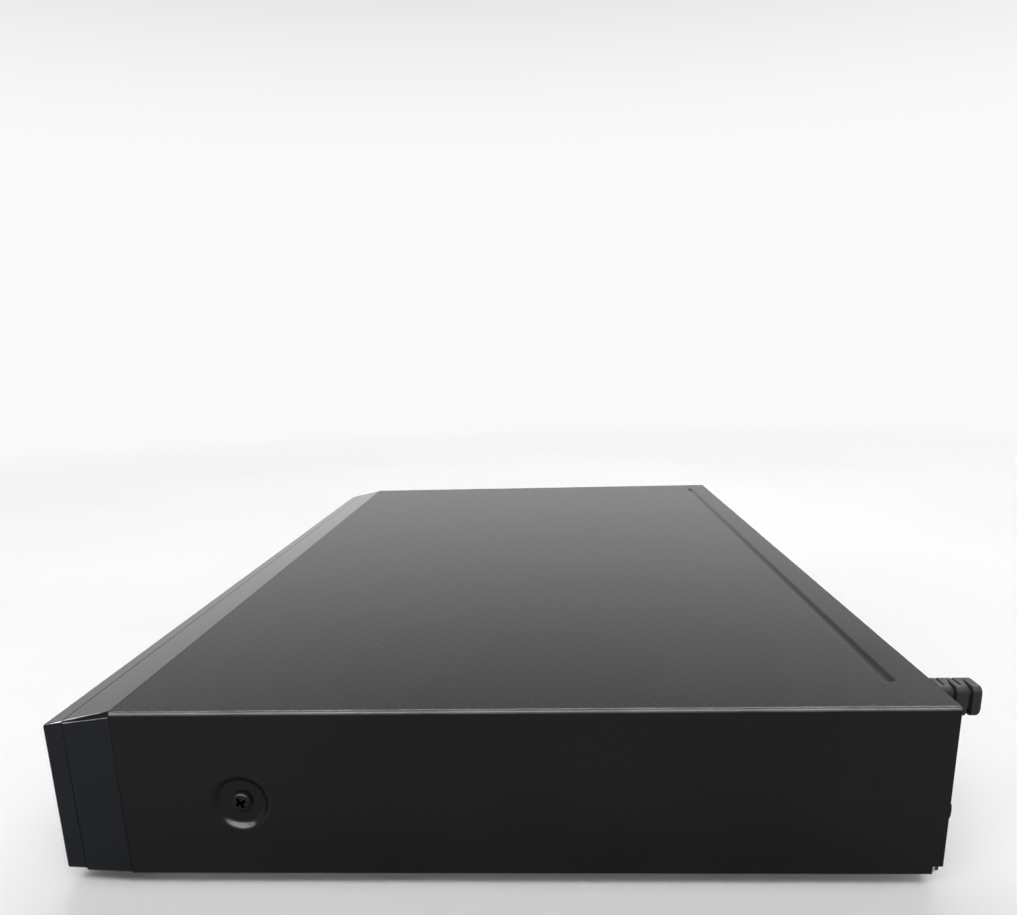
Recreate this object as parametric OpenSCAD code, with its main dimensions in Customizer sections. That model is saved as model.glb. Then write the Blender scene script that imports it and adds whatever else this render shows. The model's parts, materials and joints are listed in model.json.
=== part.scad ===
// Disc player with a motor driven tray, full width component case.
// Millimetres, +Z up, the front faces -Y, the feet stand on Z = 0.

/* [Case] */
// Width over the top cover
case_w = 430; // [420:1:450]
// Depth of the top cover from the front seam to its rear edge
cover_d = 235; // [230:1:260]
// Height of the top cover
cover_h = 51; // [50:0.5:60]
// Sheet thickness of the top cover
cover_t = 0.8; // [0.6:0.1:1]
// Outside radius of the two long folds of the cover
fold_r = 1.3; // [1.2:0.1:2.5]
// Sheet thickness of the base pan and of the rear panel
pan_t = 1; // [0.8:0.1:1.2]
// Height of the feet
foot_h = 5; // [4:0.5:10]
// Radius of a foot
foot_r = 9; // [7:0.5:11]
// Distance of the foot centres from the sides and the ends of the cover
foot_inset = 28; // [26:1:34]

/* [Cover details] */
// Distance of the bead's middle from the rear edge
bead_in = 12; // [10:0.5:18]
// Width of the bead
bead_w = 3; // [2:0.2:5]
// Depth of the bead
bead_deep = 0.6; // [0.4:0.1:0.9]
// Distance of the bead's ends from the sides
bead_end = 19; // [12:1:40]
// Outer radius of the side dimple
dimple_r = 9; // [8.5:0.5:10]
// Radius of the dimple's flat floor
dimple_floor_r = 6.4; // [5:0.2:6.8]
// Depth of the dimple
dimple_deep = 1.8; // [1.2:0.1:2]
// Distance of the side screw behind the front seam
side_screw_y = 34.8; // [30:0.5:60]
// Height of the side screw above the cover's lower edge
side_screw_z = 22.7; // [22:0.5:30]
// Width of a rear screw tab
tab_w = 14; // [12:1:18]

/* [Front panel] */
// Depth of the front frame
frame_d = 14.5; // [14:0.5:20]
// Thickness of the fascia over its rim
fascia_t = 6; // [5.5:0.5:8]
// Thickness of the fascia's front plate
fascia_plate = 3; // [2.8:0.2:3.4]
// Drop of the top strip from the seam to the front
front_drop = 4.3; // [0:0.1:6]
// Narrowing of each side from the seam to the front
front_taper = 1.6; // [0:0.1:3]
// Rise of the fascia's lower edge above the frame's
fascia_lift = 0.9; // [0.2:0.1:2]
// Radius of the fascia's front edges
fascia_r = 1.6; // [0.6:0.1:2]
// Wall thickness of the front frame
frame_wall = 2.5; // [2:0.1:3]

/* [Keys and display] */
// Width of the display window
window_w = 60; // [40:1:64]
// Width of a rectangular key
key_w = 11; // [8:0.5:12]
// Height of a rectangular key
key_h = 6.5; // [5:0.5:8]
// Radius of the power key
power_r = 6.5; // [5:0.5:7]
// Travel of a key
key_travel = 0.5; // [0.3:0.1:0.6]
// Width of the flap over the front socket
flap_w = 26; // [22:1:30]
// Height of the flap
flap_h = 11; // [10:0.5:12]

/* [Disc tray] */
// Diameter of the disc that the tray takes
disc_d = 120; // [118:0.5:122]
// Gap around the disc in the tray
disc_play = 0.5; // [0.3:0.1:1]
// Travel of the tray
tray_travel = 138; // [120:1:140]
// Thickness of the tray's floor
tray_floor = 2.4; // [2:0.1:2.8]
// Height of the tray's rim
tray_rim = 7.5; // [7.2:0.1:8]
// Width of the slot over the pickup
slot_w = 46; // [40:1:50]

/* [Loader] */
// Wall thickness of the loader frame
loader_wall = 3; // [2.4:0.1:4]
// Height of the loader's standoffs
loader_lift = 3; // [2:0.5:4]
// Thickness of the loader's deck
deck_t = 2; // [1.6:0.1:2.4]
// Tooth module of the loading gears
gear_mod = 1; // [0.9:0.05:1.05]
// Teeth of the drive gear
drive_teeth = 20; // [18:2:22]
// Teeth of the pulley gear
pinion_teeth = 14; // [13:1:15]
// Radius of the large pulley
pulley_r = 10; // [8:0.5:10]
// Radius of the motor pulley
motor_pulley_r = 3; // [2.5:0.5:4]

/* [Traverse] */
// Angle by which the traverse is lowered
tilt = 3.6; // [3:0.1:3.8]
// Travel of the optical pickup
pickup_travel = 34; // [28:1:36]
// Radius of the guide rods and the spindle shaft
rod_r = 1.5; // [1.2:0.1:1.6]
// Travel of the cam slider
cam_travel = 12; // [11:0.5:14]

/* [Boards] */
// Thickness of the circuit boards
board_t = 1.6; // [1.2:0.1:2]
// Height of the board standoffs
board_lift = 8; // [6:0.5:10]

/* [Cord gland] */
// Reach of the gland behind the cover
gland_out = 15; // [13:0.5:20]
// Width of the gland's ribs
gland_w = 10; // [9:0.2:12]
// Height of the gland's ribs
gland_h = 9.4; // [8.8:0.2:10]
// Distance of the gland's axis from the cover's side
gland_in = 25; // [20:0.5:40]
// Radius of the cord hole
cord_r = 3.2; // [2.5:0.1:3.4]

/* [Hidden] */
$fn = 48;
slip = 0.06;
seam_gap = 0.3;
eps = 0.1;
// Case
front_d = frame_d + fascia_t;
y_shift = -(cover_d + gland_out - front_d) / 2;
half_w = case_w / 2;
x_in = half_w - cover_t;
z_bot = foot_h;
z_base = z_bot + pan_t;
z_top = z_bot + cover_h;
z_in = z_top - cover_t;
rear_out = cover_d - cover_t;
rear_in = rear_out - pan_t;
pan_half = x_in - seam_gap;
pan_y0 = 1;
flange_y0 = 6;
flange_h = 12;
rear_flange = 5;
flange_end = 4;
side_ear = 8;
ear_over = 6;
// Screws
screw_r = 1.45;
screw_hole = 1.5;
screw_clear = 1.7;
screw_bite = 2;
head_r = 3;
head_h = 1.7;
head_rim = 1;
head_top_r = 2.1;
cross_w = 0.9;
cross_l = 3.6;
cross_deep = 1;
// Cover and base
ear_x = x_in - dimple_deep;
screw_z = z_bot + side_screw_z;
tab_h = 9;
tab_in = 60;
tab_xs = [-half_w + tab_in, 0, half_w - tab_in];
tab_screw_down = 5;
tab_screw_z = z_top - tab_screw_down;
bead_r = (pow(bead_w / 2, 2) + pow(bead_deep, 2)) / (2 * bead_deep);
bead_y = cover_d - bead_in;
bead_x = half_w - bead_end - bead_w / 2;
bead_z = z_top + bead_r - bead_deep;
notch_d = 2.8;
notch_h = 2.4;
lug_r = 2.4;
lug_out = 0.4;
lug_up = 20;
lug_z = z_bot + lug_up;
foot_x = half_w - foot_inset;
foot_ys = [foot_inset, cover_d - foot_inset];
foot_bevel = 1;
stud_r = 3;
stud_over = 0.6;
// Front panel slopes, by the distance y from the seam (y is negative there)
function top_at(y) = z_top + y * front_drop / front_d;
function half_at(y) = half_w + y * front_taper / front_d;
frame_z0 = z_bot - 0.3;
fascia_z0 = frame_z0 + fascia_lift;
front_wall = 2.5;
wall_in = -frame_d + front_wall;
hole_gap = 0.6;
front_edge_r = 0.9;
inner_r = 0.5;
slice_t = 0.01;
skirt_d = 4;
skirt_t = 1.6;
skirt_gap = 0.2;
fascia_rim = 3;
fascia_corner = 1.8;
joint_deep = 0.35;
joint_w = 0.4;
plate_in = -front_d + fascia_plate;
// Heights of the loader
z_loader = z_base + loader_lift;
deck_up = 11;
deck_z = z_loader + deck_up;
deck_top = deck_z + deck_t;
pulley_z = deck_top + 0.2;
pulley_h = 2.2;
gear_z = pulley_z + pulley_h + 0.4;
gear_h = 2.4;
z_tray = gear_z + gear_h + 0.8;
tray_top = z_tray + tray_rim;
tray_flat = z_tray + tray_floor;
seat_up = 1.6;
z_seat = tray_flat + seat_up;
hub_h = 3.2;
bridge_up = 4.5;
bridge_z = tray_top + bridge_up;
bridge_t = 2;
bridge_half = 20;
// Plan of the loader
recess_r = disc_d / 2 + disc_play;
tray_side = 3.5;
wing_w = 7.5;
tray_half = recess_r + tray_side;
wing_half = tray_half + wing_w;
wing_h = 3.5;
small_disc_r = 40.5;
small_disc_deep = 1;
tray_rib = 3;
scoop_r = 9;
scoop_in = 3;
front_scoop_r = 14;
front_scoop_in = 8;
loader_in = wing_half + 0.5;
loader_half = loader_in + loader_wall;
disc_front = 5.5;
tray_tail = 59.5;
loader_tail = 11;
spindle_y = recess_r - disc_front;
tray_y0 = -frame_d;
tray_y1 = spindle_y + recess_r + tray_tail;
loader_y0 = 3;
loader_y1 = tray_y1 + loader_tail;
ledge_w = 5.5;
ledge_in = loader_in - ledge_w;
ear_w = 10;
ear_t = 2.5;
ear_half = 6;
back_wall = 3;
ledge_t = 2.2;
tray_gap = 0.2;
guide_l = 13;
guide_t = 2;
guide_in = 6;
guide_off = 26;
guide_ys = [loader_y0 + guide_in, spindle_y + guide_off, tray_y1 - guide_off];
bracket_w = 5;
bracket_half = 5;
bracket_low = 3;
ear_in = 14;
ear_ys = [loader_y0 + ear_in, loader_y1 - ear_in];
bay_half = 40;
guide_z = z_tray + wing_h + seam_gap;
stake_over = 0.6;
stake_r = 1;
stake_x = loader_in + loader_wall / 2;
stake_off = 14;
stake_ys = [spindle_y - stake_off, spindle_y + stake_off];
// Loading drive
gear_back = 18.5;
gear_y = loader_y0 + gear_back;
drive_pr = drive_teeth * gear_mod / 2;
pinion_pr = pinion_teeth * gear_mod / 2;
drive_x = -(bay_half + 2);
rack_x = drive_x - drive_pr;
pulley_x = drive_x + drive_pr + pinion_pr;
belt_l = 37;
motor_x = pulley_x + belt_l;
motor_r = 10;
motor_h = 11;
motor_boss_r = 2.4;
motor_shaft_r = 1;
hub_r = 3.6;
post_r = 2;
post_top = z_tray - 0.4;
tooth_slack = 0.2;
addendum = 0.8;
dedendum = 1.1;
pressure = 20;
rack_pitch = PI * gear_mod;
rack_first = -3;
rack_last = floor(tray_travel / rack_pitch) + 2;
rack_w = 5;
rack_back = rack_x - rack_w;
belt_gap = 0.3;
belt_t = 1;
belt_w = 1.2;
// Traverse
cam_back = 13.1;
cam_y0 = gear_y + cam_back;
cam_t = 1.8;
cam_z0 = z_loader + 0.8;
cam_gap = 0.2;
cam_rail = bay_half - 1;
rail_t = 2;
lip_y0 = cam_y0 + cam_t + cam_gap;
lip_t = 0.7;
lip_h = 0.5;
cam_x0 = -30;
cam_x1 = 22;
cam_pin_r = 1.4;
cam_slot_r = cam_pin_r + 0.25;
trav_back = 3.4;
pivot_back = 95;
pivot_gap = 4;
trav_y0 = cam_y0 + trav_back;
pivot_y = spindle_y + pivot_back;
trav_y1 = pivot_y - pivot_gap;
trav_half = 36;
trav_t = 2;
trav_z = deck_z - 1.5;
trav_top = trav_z + trav_t;
pivot_z = trav_z + trav_t / 2;
pivot_r = 2;
bay_tail = 8;
bay_y1 = pivot_y + bay_tail;
cam_lift = (pivot_y - cam_y0 - cam_t / 2) * sin(tilt);
rod_x0 = 22;
rod_up = 3;
rod_zc = trav_top + rod_up;
rod_in = 2;
rod_block = 4;
rod_ys = [trav_y0 + rod_in, trav_y1 - rod_in - rod_block];
block_half = 3;
block_over = 2.6;
arm_x = 26;
arm_w = 5;
arm_over = 3;
beam_half = 17;
beam_y = 19;
beam_end = 12;
sleeve_r = 4.2;
stator_r = 8.6;
stator_up = 0.4;
spindle_base_r = 12;
spindle_base_t = 2;
rotor_r = 11;
rotor_wall = 1.4;
cup_h = 5;
table_t = 4;
cone_r = 7.4;
cone_top_r = 6.2;
table_r = 14.5;
rotor_z = trav_top + 0.7;
pick_back = 12;
pick_y0 = spindle_y + pick_back;
pick_l = 26;
pick_over = 4;
pick_half = rod_x0 + pick_over;
pick_z = trav_top + 0.5;
pick_up = 3;
pick_top = rod_zc + pick_up;
lens_z = z_seat - 1.7;
feed_x = 31;
feed_zc = rod_zc - 0.5;
feed_back = 6;
feed_stop = 2;
feed_y0 = spindle_y + feed_back;
feed_y1 = pick_y0 + pick_l + pickup_travel + feed_stop;
feed_pitch = 4;
feed_core = 1.2;
feed_off = 0.3;
feed_motor_r = 4;
feed_motor_l = 12;
feed_plate = 2;
motor_room = 0.5;
bearing_half = 2.5;
bearing_t = 3;
journal_r = 1;
journal_in = 3;
lens_block = 11;
lens_in = 5;
lens_t = 1;
lens_r = 3;
nut_y = 8;
nut_l = 6;
nut_half = 0.8;
clamp_neck = 12.4;
clamp_r = 15;
clamp_z = z_seat + hub_h + 0.8;
clamp_under = 0.6;
clamp_cap = 1.8;
cap_z = bridge_z + bridge_t + seam_gap;
yoke_r = 9;
yoke_t = 1.4;
yoke_z = cap_z + 0.8;
// Boards and sockets
board_z = z_base + board_lift;
board_top = board_z + board_t;
board_gap = 5;
board_in = 9;
board_x0 = loader_half + ear_w + board_gap;
board_x1 = x_in - board_in;
main_back = 107;
power_back = 60;
main_y0 = loader_y0 + main_back;
power_y0 = loader_y0 + power_back;
board_y1 = rear_in - 3;
peg_r = 3.2;
peg_in = 6;
peg_bite = 5;
vent_n = 7;
vent_w = 3;
vent_l = 40;
vent_pitch = 8;
vent_in = 16;
vent_back = 22;
vent_x0 = board_x0 + vent_in;
vent_y0 = power_y0 + vent_back;
rear_vents = 8;
rear_vent_w = 2.8;
rear_vent_h = 18;
rear_vent_pitch = 7;
rear_vent_up = 14;
rear_vent_z0 = z_base + rear_vent_up;
chip_h = 1.6;
memory_x = 20;
memory_y = 50;
memory_w = 14;
memory_d = 10;
memory_pitch = 16;
audio_chip_in = 16;
audio_chip_d = 20;
drive_chip_x = 40;
drive_chip_w = 12;
sink_x = 56;
sink_y = 42;
core_x = 34;
core_y = 56;
cap_x = 74;
cap_y = 100;
small_cap_x = 18;
small_cap_y = 46;
power_sink_x = 22;
power_sink_y = 100;
sink_w = 38;
sink_h = 16;
sink_base = 4;
sink_fins = 7;
fin_t = 2;
power_sink_w = 34;
power_sink_d = 14;
power_sink_h = 28;
power_fins = 5;
core_w = 34;
core_d = 30;
core_h = 26;
core_leg = 9;
coil_in = 5;
coil_low = 2;
cap_r = 11;
cap_h = 28;
small_cap_r = 5;
small_cap_h = 18;
small_cap_pitch = 16;
jack_in = 18;
jack_x = -board_x1 + jack_in;
jack_pitch = 17;
jack_block = 12;
jack_bore = 1.65;
jack_r = 4.1;
jack_base_r = jack_r + 0.1;
jack_out = 8.5;
socket_out = 0.6;
optical_w = 10;
optical_h = 10;
optical_door = 6;
lan_w = 16;
lan_h = 13.5;
lan_l = 16;
lan_port = 12;
lan_deep = 10;
lan_low = 2;
lan_step = 9.5;
hdmi_w = 15;
hdmi_h = 6.4;
hdmi_l = 10;
hdmi_wall = 0.6;
hdmi_chamfer = 1.8;
hdmi_tongue = 1.2;
hdmi_deep = 9;
optical_off = 20;
lan_off = 21;
hdmi_off = 22;
optical_x = jack_x + jack_pitch + optical_off;
lan_x = optical_x + lan_off;
hdmi_x = lan_x + hdmi_off;
jack_z = board_top + jack_block / 2;
lead_in = 8.8;
lead_off = 1;
lead_w = 8;
lead_h = 9;
lead_t = 1.4;
ribbon_w = 7;
ribbon_t = 0.6;
ribbon_off = 3;
// Gland
gland_x = half_w - gland_in;
gland_drop = 1.2;
gland_z = z_in - gland_drop - gland_h / 2;
gland_neck = 1;
gland_head = 5;
gland_corner = 2;
neck_w = gland_w - 2 * gland_neck;
neck_h = gland_h - 2 * gland_neck;
neck_corner = 1.5;
gland_end = cover_d + gland_out;
rib_gap = 1;
rib_n = 3;
rib_pitch = (gland_out + cover_t) / (rib_n + 0.95);
// Front board, display and keys
face_z = z_tray + tray_rim / 2;
front_half = wing_half + 1.2;
front_over = 5.5;
front_z0 = z_tray - front_over;
front_z1 = tray_top + front_over;
fb_y0 = 0.5;
fb_y1 = fb_y0 + board_t;
plate_half = half_at(-front_d) - fascia_rim;
key_gap = 4.5;
keys_w = 3 * key_w + 2 * key_gap;
front_free = plate_half - front_half - window_w - keys_w;
window_x0 = front_half + front_free * 0.28;
window_x1 = window_x0 + window_w;
window_h = 16;
window_z0 = face_z - window_h / 2;
window_z1 = face_z + window_h / 2;
face_y = -front_d + 0.2;
lip = 1;
window_flange = 1.2;
display_gap = 2;
stem_r = 1.5;
key_pitch = key_w + key_gap;
key_x0 = window_x1 + front_free * 0.168 + key_w / 2;
key_xs = [key_x0, key_x0 + key_pitch, key_x0 + 2 * key_pitch];
power_in = 20;
power_x = -(plate_half - power_in);
fb_over = 8;
fb_x0 = window_x0 - 3;
fb_x1 = plate_half - 2.2;
fb_z0 = z_base + 4;
fb_z1 = window_z1 + fb_over;
boss_r = 2.5;
boss_in = 5;
boss_up = 4;
boss_zs = [fb_z0 + boss_up, fb_z1 - boss_up];
switch_half = 3;
plunger_r = 1.6;
switch_h = 3.5;
plunger_h = 0.6;
stem_y = fb_y0 - switch_h - plunger_h - key_travel - 0.1;
key_flange = 1;
flap_off = 17.1;
flange_y = plate_in + 0.2;
flap_x = (power_x - power_r - front_half) / 2 + flap_off;
flap_t = 2.2;
flap_z0 = face_z - flap_h / 2;
flap_axis_y = face_y + flap_t / 2;
flap_axis_z = flap_z0 + flap_t / 2;
flap_pin_r = 0.7;
flap_pin_l = 1.2;
kb_over = 16;
kb_x1 = flap_x + flap_w / 2 + kb_over;
usb_y0 = -frame_d - 0.5;
usb_half_w = 6.6;
usb_half_h = 2.9;
usb_wall = 0.4;
usb_back = 4;
usb_tongue_w = 11.2;
usb_tongue_t = 1.8;
usb_tongue_in = 0.8;

// Every piece is drawn with y = 0 at the front seam and moved to the middle here
module place() {
    translate([0, y_shift, 0]) children();
}

module box(lo, hi) {
    translate(lo) cube(hi - lo);
}

module both_sides() {
    children();
    mirror([1, 0, 0]) children();
}

module rod_x(r, x0, x1, y, z) {
    translate([x0, y, z]) rotate([0, 90, 0]) cylinder(r = r, h = x1 - x0);
}

module rod_y(r, y0, y1, x, z) {
    translate([x, y0, z]) rotate([-90, 0, 0]) cylinder(r = r, h = y1 - y0);
}

module rod_z(r, z0, z1, x, y) {
    translate([x, y, z0]) cylinder(r = r, h = z1 - z0);
}

module rounded(w, h, r) {
    square([w - 2 * r, h], center = true);
    square([w, h - 2 * r], center = true);
    for (sx = [-1, 1], sy = [-1, 1])
        translate([sx * (w / 2 - r), sy * (h / 2 - r)]) circle(r);
}

module rounded_y(w, h, r, y0, y1, x, z) {
    translate([x, y1, z]) rotate([90, 0, 0]) linear_extrude(y1 - y0) rounded(w, h, r);
}

// Pan head screw, head outward along +Z from its seat at z = 0
module pan_screw(reach) {
    difference() {
        union() {
            cylinder(r = head_r, h = head_rim);
            translate([0, 0, head_rim]) cylinder(r1 = head_r, r2 = head_top_r, h = head_h - head_rim);
            translate([0, 0, -reach]) cylinder(r = screw_r, h = reach + eps);
        }
        for (a = [0, 90])
            rotate([0, 0, a]) translate([-cross_l / 2, -cross_w / 2, head_h - cross_deep])
                cube([cross_l, cross_w, head_h]);
    }
}

// Top cover
module cover_outline(inset) {
    w = case_w - 2 * inset;
    h = cover_h - inset;
    r = fold_r - inset;
    translate([-w / 2, -inset]) square([w, h - r + inset]);
    translate([-w / 2 + r, 0]) square([w - 2 * r, h]);
    for (s = [-1, 1])
        translate([s * (w / 2 - r), h - r]) circle(r);
}

function press(r0, r1, d0, deep) = [for (i = [0:12]) let (t = i / 12)
    [r0 + (r1 - r0) * t, d0 + deep * (1 - cos(180 * t)) / 2]];

module dimple_void() {
    rotate_extrude() polygon(concat([[0, -1], [dimple_r, -1]],
        press(dimple_r, dimple_floor_r, 0, dimple_deep), [[0, dimple_deep]]));
}

module dimple_back() {
    rotate_extrude() polygon(concat([[0, cover_t / 2], [dimple_r + cover_t, cover_t / 2]],
        press(dimple_r + cover_t, dimple_floor_r + cover_t, cover_t, dimple_deep),
        [[0, dimple_deep + cover_t]]));
}

module bead(r) {
    rod_x(r, -bead_x, bead_x, bead_y, bead_z);
    for (s = [-1, 1])
        translate([s * bead_x, bead_y, bead_z]) sphere(r);
}

module at_side_screw() {
    translate([half_w, side_screw_y, screw_z]) rotate([0, -90, 0]) children();
}

module top_cover() color("#1d1f20") place() difference() {
    union() {
        translate([0, cover_d, z_bot]) rotate([90, 0, 0]) linear_extrude(cover_d) difference() {
            cover_outline(0);
            cover_outline(cover_t);
        }
        intersection() {
            bead(bead_r + cover_t);
            box([-half_w, 0, z_bot], [half_w, cover_d, z_top - cover_t / 2]);
        }
        both_sides() at_side_screw() dimple_back();
        for (x = tab_xs)
            box([x - tab_w / 2, rear_out, z_top - tab_h], [x + tab_w / 2, cover_d, z_top - cover_t / 2]);
        both_sides() rod_x(lug_r, x_in, half_w, cover_d + lug_out - lug_r, lug_z);
    }
    bead(bead_r);
    both_sides() {
        at_side_screw() dimple_void();
        rod_x(screw_clear, ear_x - 2, half_w, side_screw_y, screw_z);
        box([x_in - 1, cover_d - notch_d, z_bot - 1], [half_w + 1, cover_d + 1, z_bot + notch_h]);
    }
    for (x = tab_xs)
        rod_y(screw_clear, rear_out - 1, cover_d + 1, x, tab_screw_z);
}

module side_screws() color("#8b8e90") place() both_sides()
    translate([ear_x + cover_t, side_screw_y, screw_z]) rotate([0, 90, 0])
        pan_screw(cover_t + pan_t + screw_bite);

module rear_screws() color("#3c3f41") place()
    for (x = tab_xs)
        translate([x, cover_d, tab_screw_z]) rotate([-90, 0, 0]) pan_screw(cover_t + pan_t + screw_bite);

// Base pan with flanges, ears, standoffs and vents
module peg(x, y, z1) {
    rod_z(peg_r, z_base - eps, z1, x, y);
}

function loader_pegs() = [for (s = [-1, 1], y = ear_ys) [s * (loader_half + ear_w / 2), y]];
function main_pegs() = [for (x = [-board_x1 + peg_in, -board_x0 - peg_in],
    y = [main_y0 + peg_in, board_y1 - peg_in - rear_flange]) [x, y]];
function power_pegs() = [for (x = [board_x0 + peg_in, board_x1 - peg_in],
    y = [power_y0 + peg_in, board_y1 - peg_in - rear_flange]) [x, y]];

module base_pan() color("#6d7275") place() difference() {
    union() {
        box([-pan_half, pan_y0, z_bot], [pan_half, rear_in, z_base]);
        both_sides() {
            box([pan_half - pan_t, flange_y0, z_bot], [pan_half, rear_in, z_bot + flange_h]);
            box([ear_x - pan_t, side_screw_y - side_ear, z_bot],
                [ear_x, side_screw_y + side_ear, screw_z + ear_over]);
        }
        for (p = loader_pegs()) peg(p[0], p[1], z_loader);
        for (p = concat(main_pegs(), power_pegs())) peg(p[0], p[1], board_z);
    }
    both_sides() {
        rod_x(screw_hole, ear_x - pan_t - 1, ear_x + 1, side_screw_y, screw_z);
        for (y = foot_ys) rod_z(stud_r, z_bot - 1, z_base + 1, foot_x, y);
        for (i = [0:vent_n - 1])
            translate([vent_x0 + i * vent_pitch, vent_y0, z_bot - 1]) cube([vent_w, vent_l, pan_t + 2]);
    }
    for (p = concat(loader_pegs(), main_pegs(), power_pegs()))
        rod_z(screw_hole, z_bot - 1, board_z + 1, p[0], p[1]);
}

module rubber_feet() color("#26282a") place() both_sides()
    for (y = foot_ys) translate([foot_x, y, 0]) {
        cylinder(r1 = foot_r - foot_bevel, r2 = foot_r, h = foot_bevel);
        translate([0, 0, foot_bevel]) cylinder(r = foot_r, h = z_bot - foot_bevel);
        translate([0, 0, z_bot - eps]) cylinder(r = stud_r - slip, h = pan_t + stud_over);
    }

// Rear panel
module socket_cut(x, w, h) {
    box([x - w / 2 - seam_gap, rear_in - 1, board_top - seam_gap],
        [x + w / 2 + seam_gap, rear_out + 1, board_top + h + seam_gap]);
}

module rear_panel() color("#232527") place() difference() {
    union() {
        rounded_y(2 * pan_half, z_in - seam_gap - z_bot, fold_r, rear_in, rear_out,
            0, (z_bot + z_in - seam_gap) / 2);
        box([-pan_half + flange_end, rear_in - rear_flange, z_base],
            [pan_half - flange_end, rear_in + eps, z_base + pan_t]);
    }
    for (x = tab_xs)
        rod_y(screw_hole, rear_in - 1, rear_out + 1, x, tab_screw_z);
    for (i = [0, 1])
        rod_y(jack_base_r + seam_gap, rear_in - 1, rear_out + 1, jack_x + i * jack_pitch, jack_z);
    socket_cut(optical_x, optical_w, optical_h);
    socket_cut(lan_x, lan_w, lan_h);
    socket_cut(hdmi_x, hdmi_w, hdmi_h);
    rounded_y(neck_w + slip, neck_h + slip, neck_corner, rear_in - 1, rear_out + 1, gland_x, gland_z);
    for (i = [-rear_vents:rear_vents])
        translate([i * rear_vent_pitch - rear_vent_w / 2, rear_in - 1, rear_vent_z0])
            cube([rear_vent_w, pan_t + 2, rear_vent_h]);
}

// Ribbed strain relief in the rear panel; its ribs follow the reach
module gland_rib(y0, y1) {
    rounded_y(gland_w, gland_h, gland_corner, y0, y1, gland_x, gland_z);
}

module cord_gland() color("#2b2d2f") place() difference() {
    union() {
        rounded_y(neck_w, neck_h, neck_corner, rear_in - gland_head, gland_end, gland_x, gland_z);
        gland_rib(rear_in - gland_head, rear_in);
        for (i = [0:rib_n - 1])
            gland_rib(gland_end - (i + 1) * rib_pitch + rib_gap, gland_end - i * rib_pitch);
        gland_rib(rear_out, gland_end - rib_n * rib_pitch);
    }
    rod_y(cord_r, rear_in - gland_head - 1, gland_end + 1, gland_x, gland_z);
}

// Front frame: gloss shell, slopes towards the front
module frame_slice(y, inset, r) {
    w = 2 * half_at(y) - 2 * inset;
    z0 = frame_z0 + inset;
    z1 = top_at(y) - inset;
    rounded_y(w, z1 - z0, r, y - slice_t, y, 0, (z0 + z1) / 2);
}

module frame_hole(x0, x1, z0, z1) {
    box([x0 - hole_gap, -frame_d - 1, z0 - hole_gap], [x1 + hole_gap, wall_in + 1, z1 + hole_gap]);
}

module skirt(inset, y0, y1) {
    z0 = z_base + skirt_gap;
    z1 = z_in - skirt_gap - inset;
    rounded_y(2 * (x_in - skirt_gap - inset), z1 - z0, fold_r, y0, y1, 0, (z0 + z1) / 2);
}

function board_bosses() = [for (x = [fb_x0 + boss_in, fb_x1 - boss_in], z = boss_zs) [x, z]];
function key_bosses() = [for (x = [-fb_x1 + boss_in, kb_x1 - boss_in], z = boss_zs) [x, z]];

module front_frame() color("#0d0e10") place() difference() {
    union() {
        difference() {
            hull() {
                frame_slice(0, 0, fold_r);
                frame_slice(-frame_d + slice_t, 0, front_edge_r);
            }
            hull() {
                frame_slice(1, frame_wall, inner_r);
                frame_slice(wall_in + slice_t, frame_wall, inner_r);
            }
        }
        difference() {
            skirt(0, -2, skirt_d);
            skirt(skirt_t, -3, skirt_d + 1);
            box([-half_w, -3, z_bot - 2], [half_w, skirt_d + 1, z_base + 1]);
        }
        for (p = concat(board_bosses(), key_bosses()))
            rod_y(boss_r, wall_in - eps, fb_y0, p[0], p[1]);
    }
    frame_hole(-wing_half, wing_half, gear_z, tray_top);
    frame_hole(window_x0, window_x1, window_z0, window_z1);
    for (x = concat(key_xs, [power_x]))
        rod_y(stem_r + seam_gap, -frame_d - 1, wall_in + 1, x, face_z);
    frame_hole(flap_x - usb_half_w, flap_x + usb_half_w, face_z - usb_half_h, face_z + usb_half_h);
}

// Fascia: front plate with a rim, rounded front edges
module fascia_slice(y, inset) {
    w = 2 * half_at(y) - 2 * inset;
    z0 = fascia_z0 + inset;
    z1 = top_at(y) - inset;
    rounded_y(w, z1 - z0, fascia_corner, y - slice_t, y, 0, (z0 + z1) / 2);
}

module fascia_cut(x0, x1, z0, z1) {
    box([x0 - seam_gap, -front_d - 1, z0 - seam_gap], [x1 + seam_gap, -frame_d + 1, z1 + seam_gap]);
}

module front_fascia() color("#0b0c0e") place() difference() {
    hull() {
        fascia_slice(-frame_d, joint_deep);
        fascia_slice(-frame_d - joint_w, 0);
        for (a = [0:15:90])
            fascia_slice(-front_d + slice_t + fascia_r * (1 - sin(a)), fascia_r * (1 - cos(a)));
    }
    box([-half_at(-front_d) + fascia_rim, plate_in, fascia_z0 + fascia_rim],
        [half_at(-front_d) - fascia_rim, -frame_d + 1, top_at(-front_d) - fascia_rim]);
    fascia_cut(-front_half, front_half, front_z0, front_z1);
    fascia_cut(window_x0, window_x1, window_z0, window_z1);
    for (x = key_xs) fascia_cut(x - key_w / 2, x + key_w / 2, face_z - key_h / 2, face_z + key_h / 2);
    rod_y(power_r + seam_gap, -front_d - 1, plate_in + 1, power_x, face_z);
    fascia_cut(flap_x - flap_w / 2, flap_x + flap_w / 2, flap_z0, flap_z0 + flap_h);
    rod_x(flap_pin_r + slip, flap_x - flap_w / 2 - flap_pin_l - 0.5, flap_x + flap_w / 2 + flap_pin_l + 0.5,
        flap_axis_y, flap_axis_z);
}

module display_window() color("#15181c") place() {
    box([window_x0, face_y, window_z0], [window_x1, plate_in + eps, window_z1]);
    box([window_x0 - lip, plate_in, window_z0 - lip],
        [window_x1 + lip, plate_in + window_flange, window_z1 + lip]);
}

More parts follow.
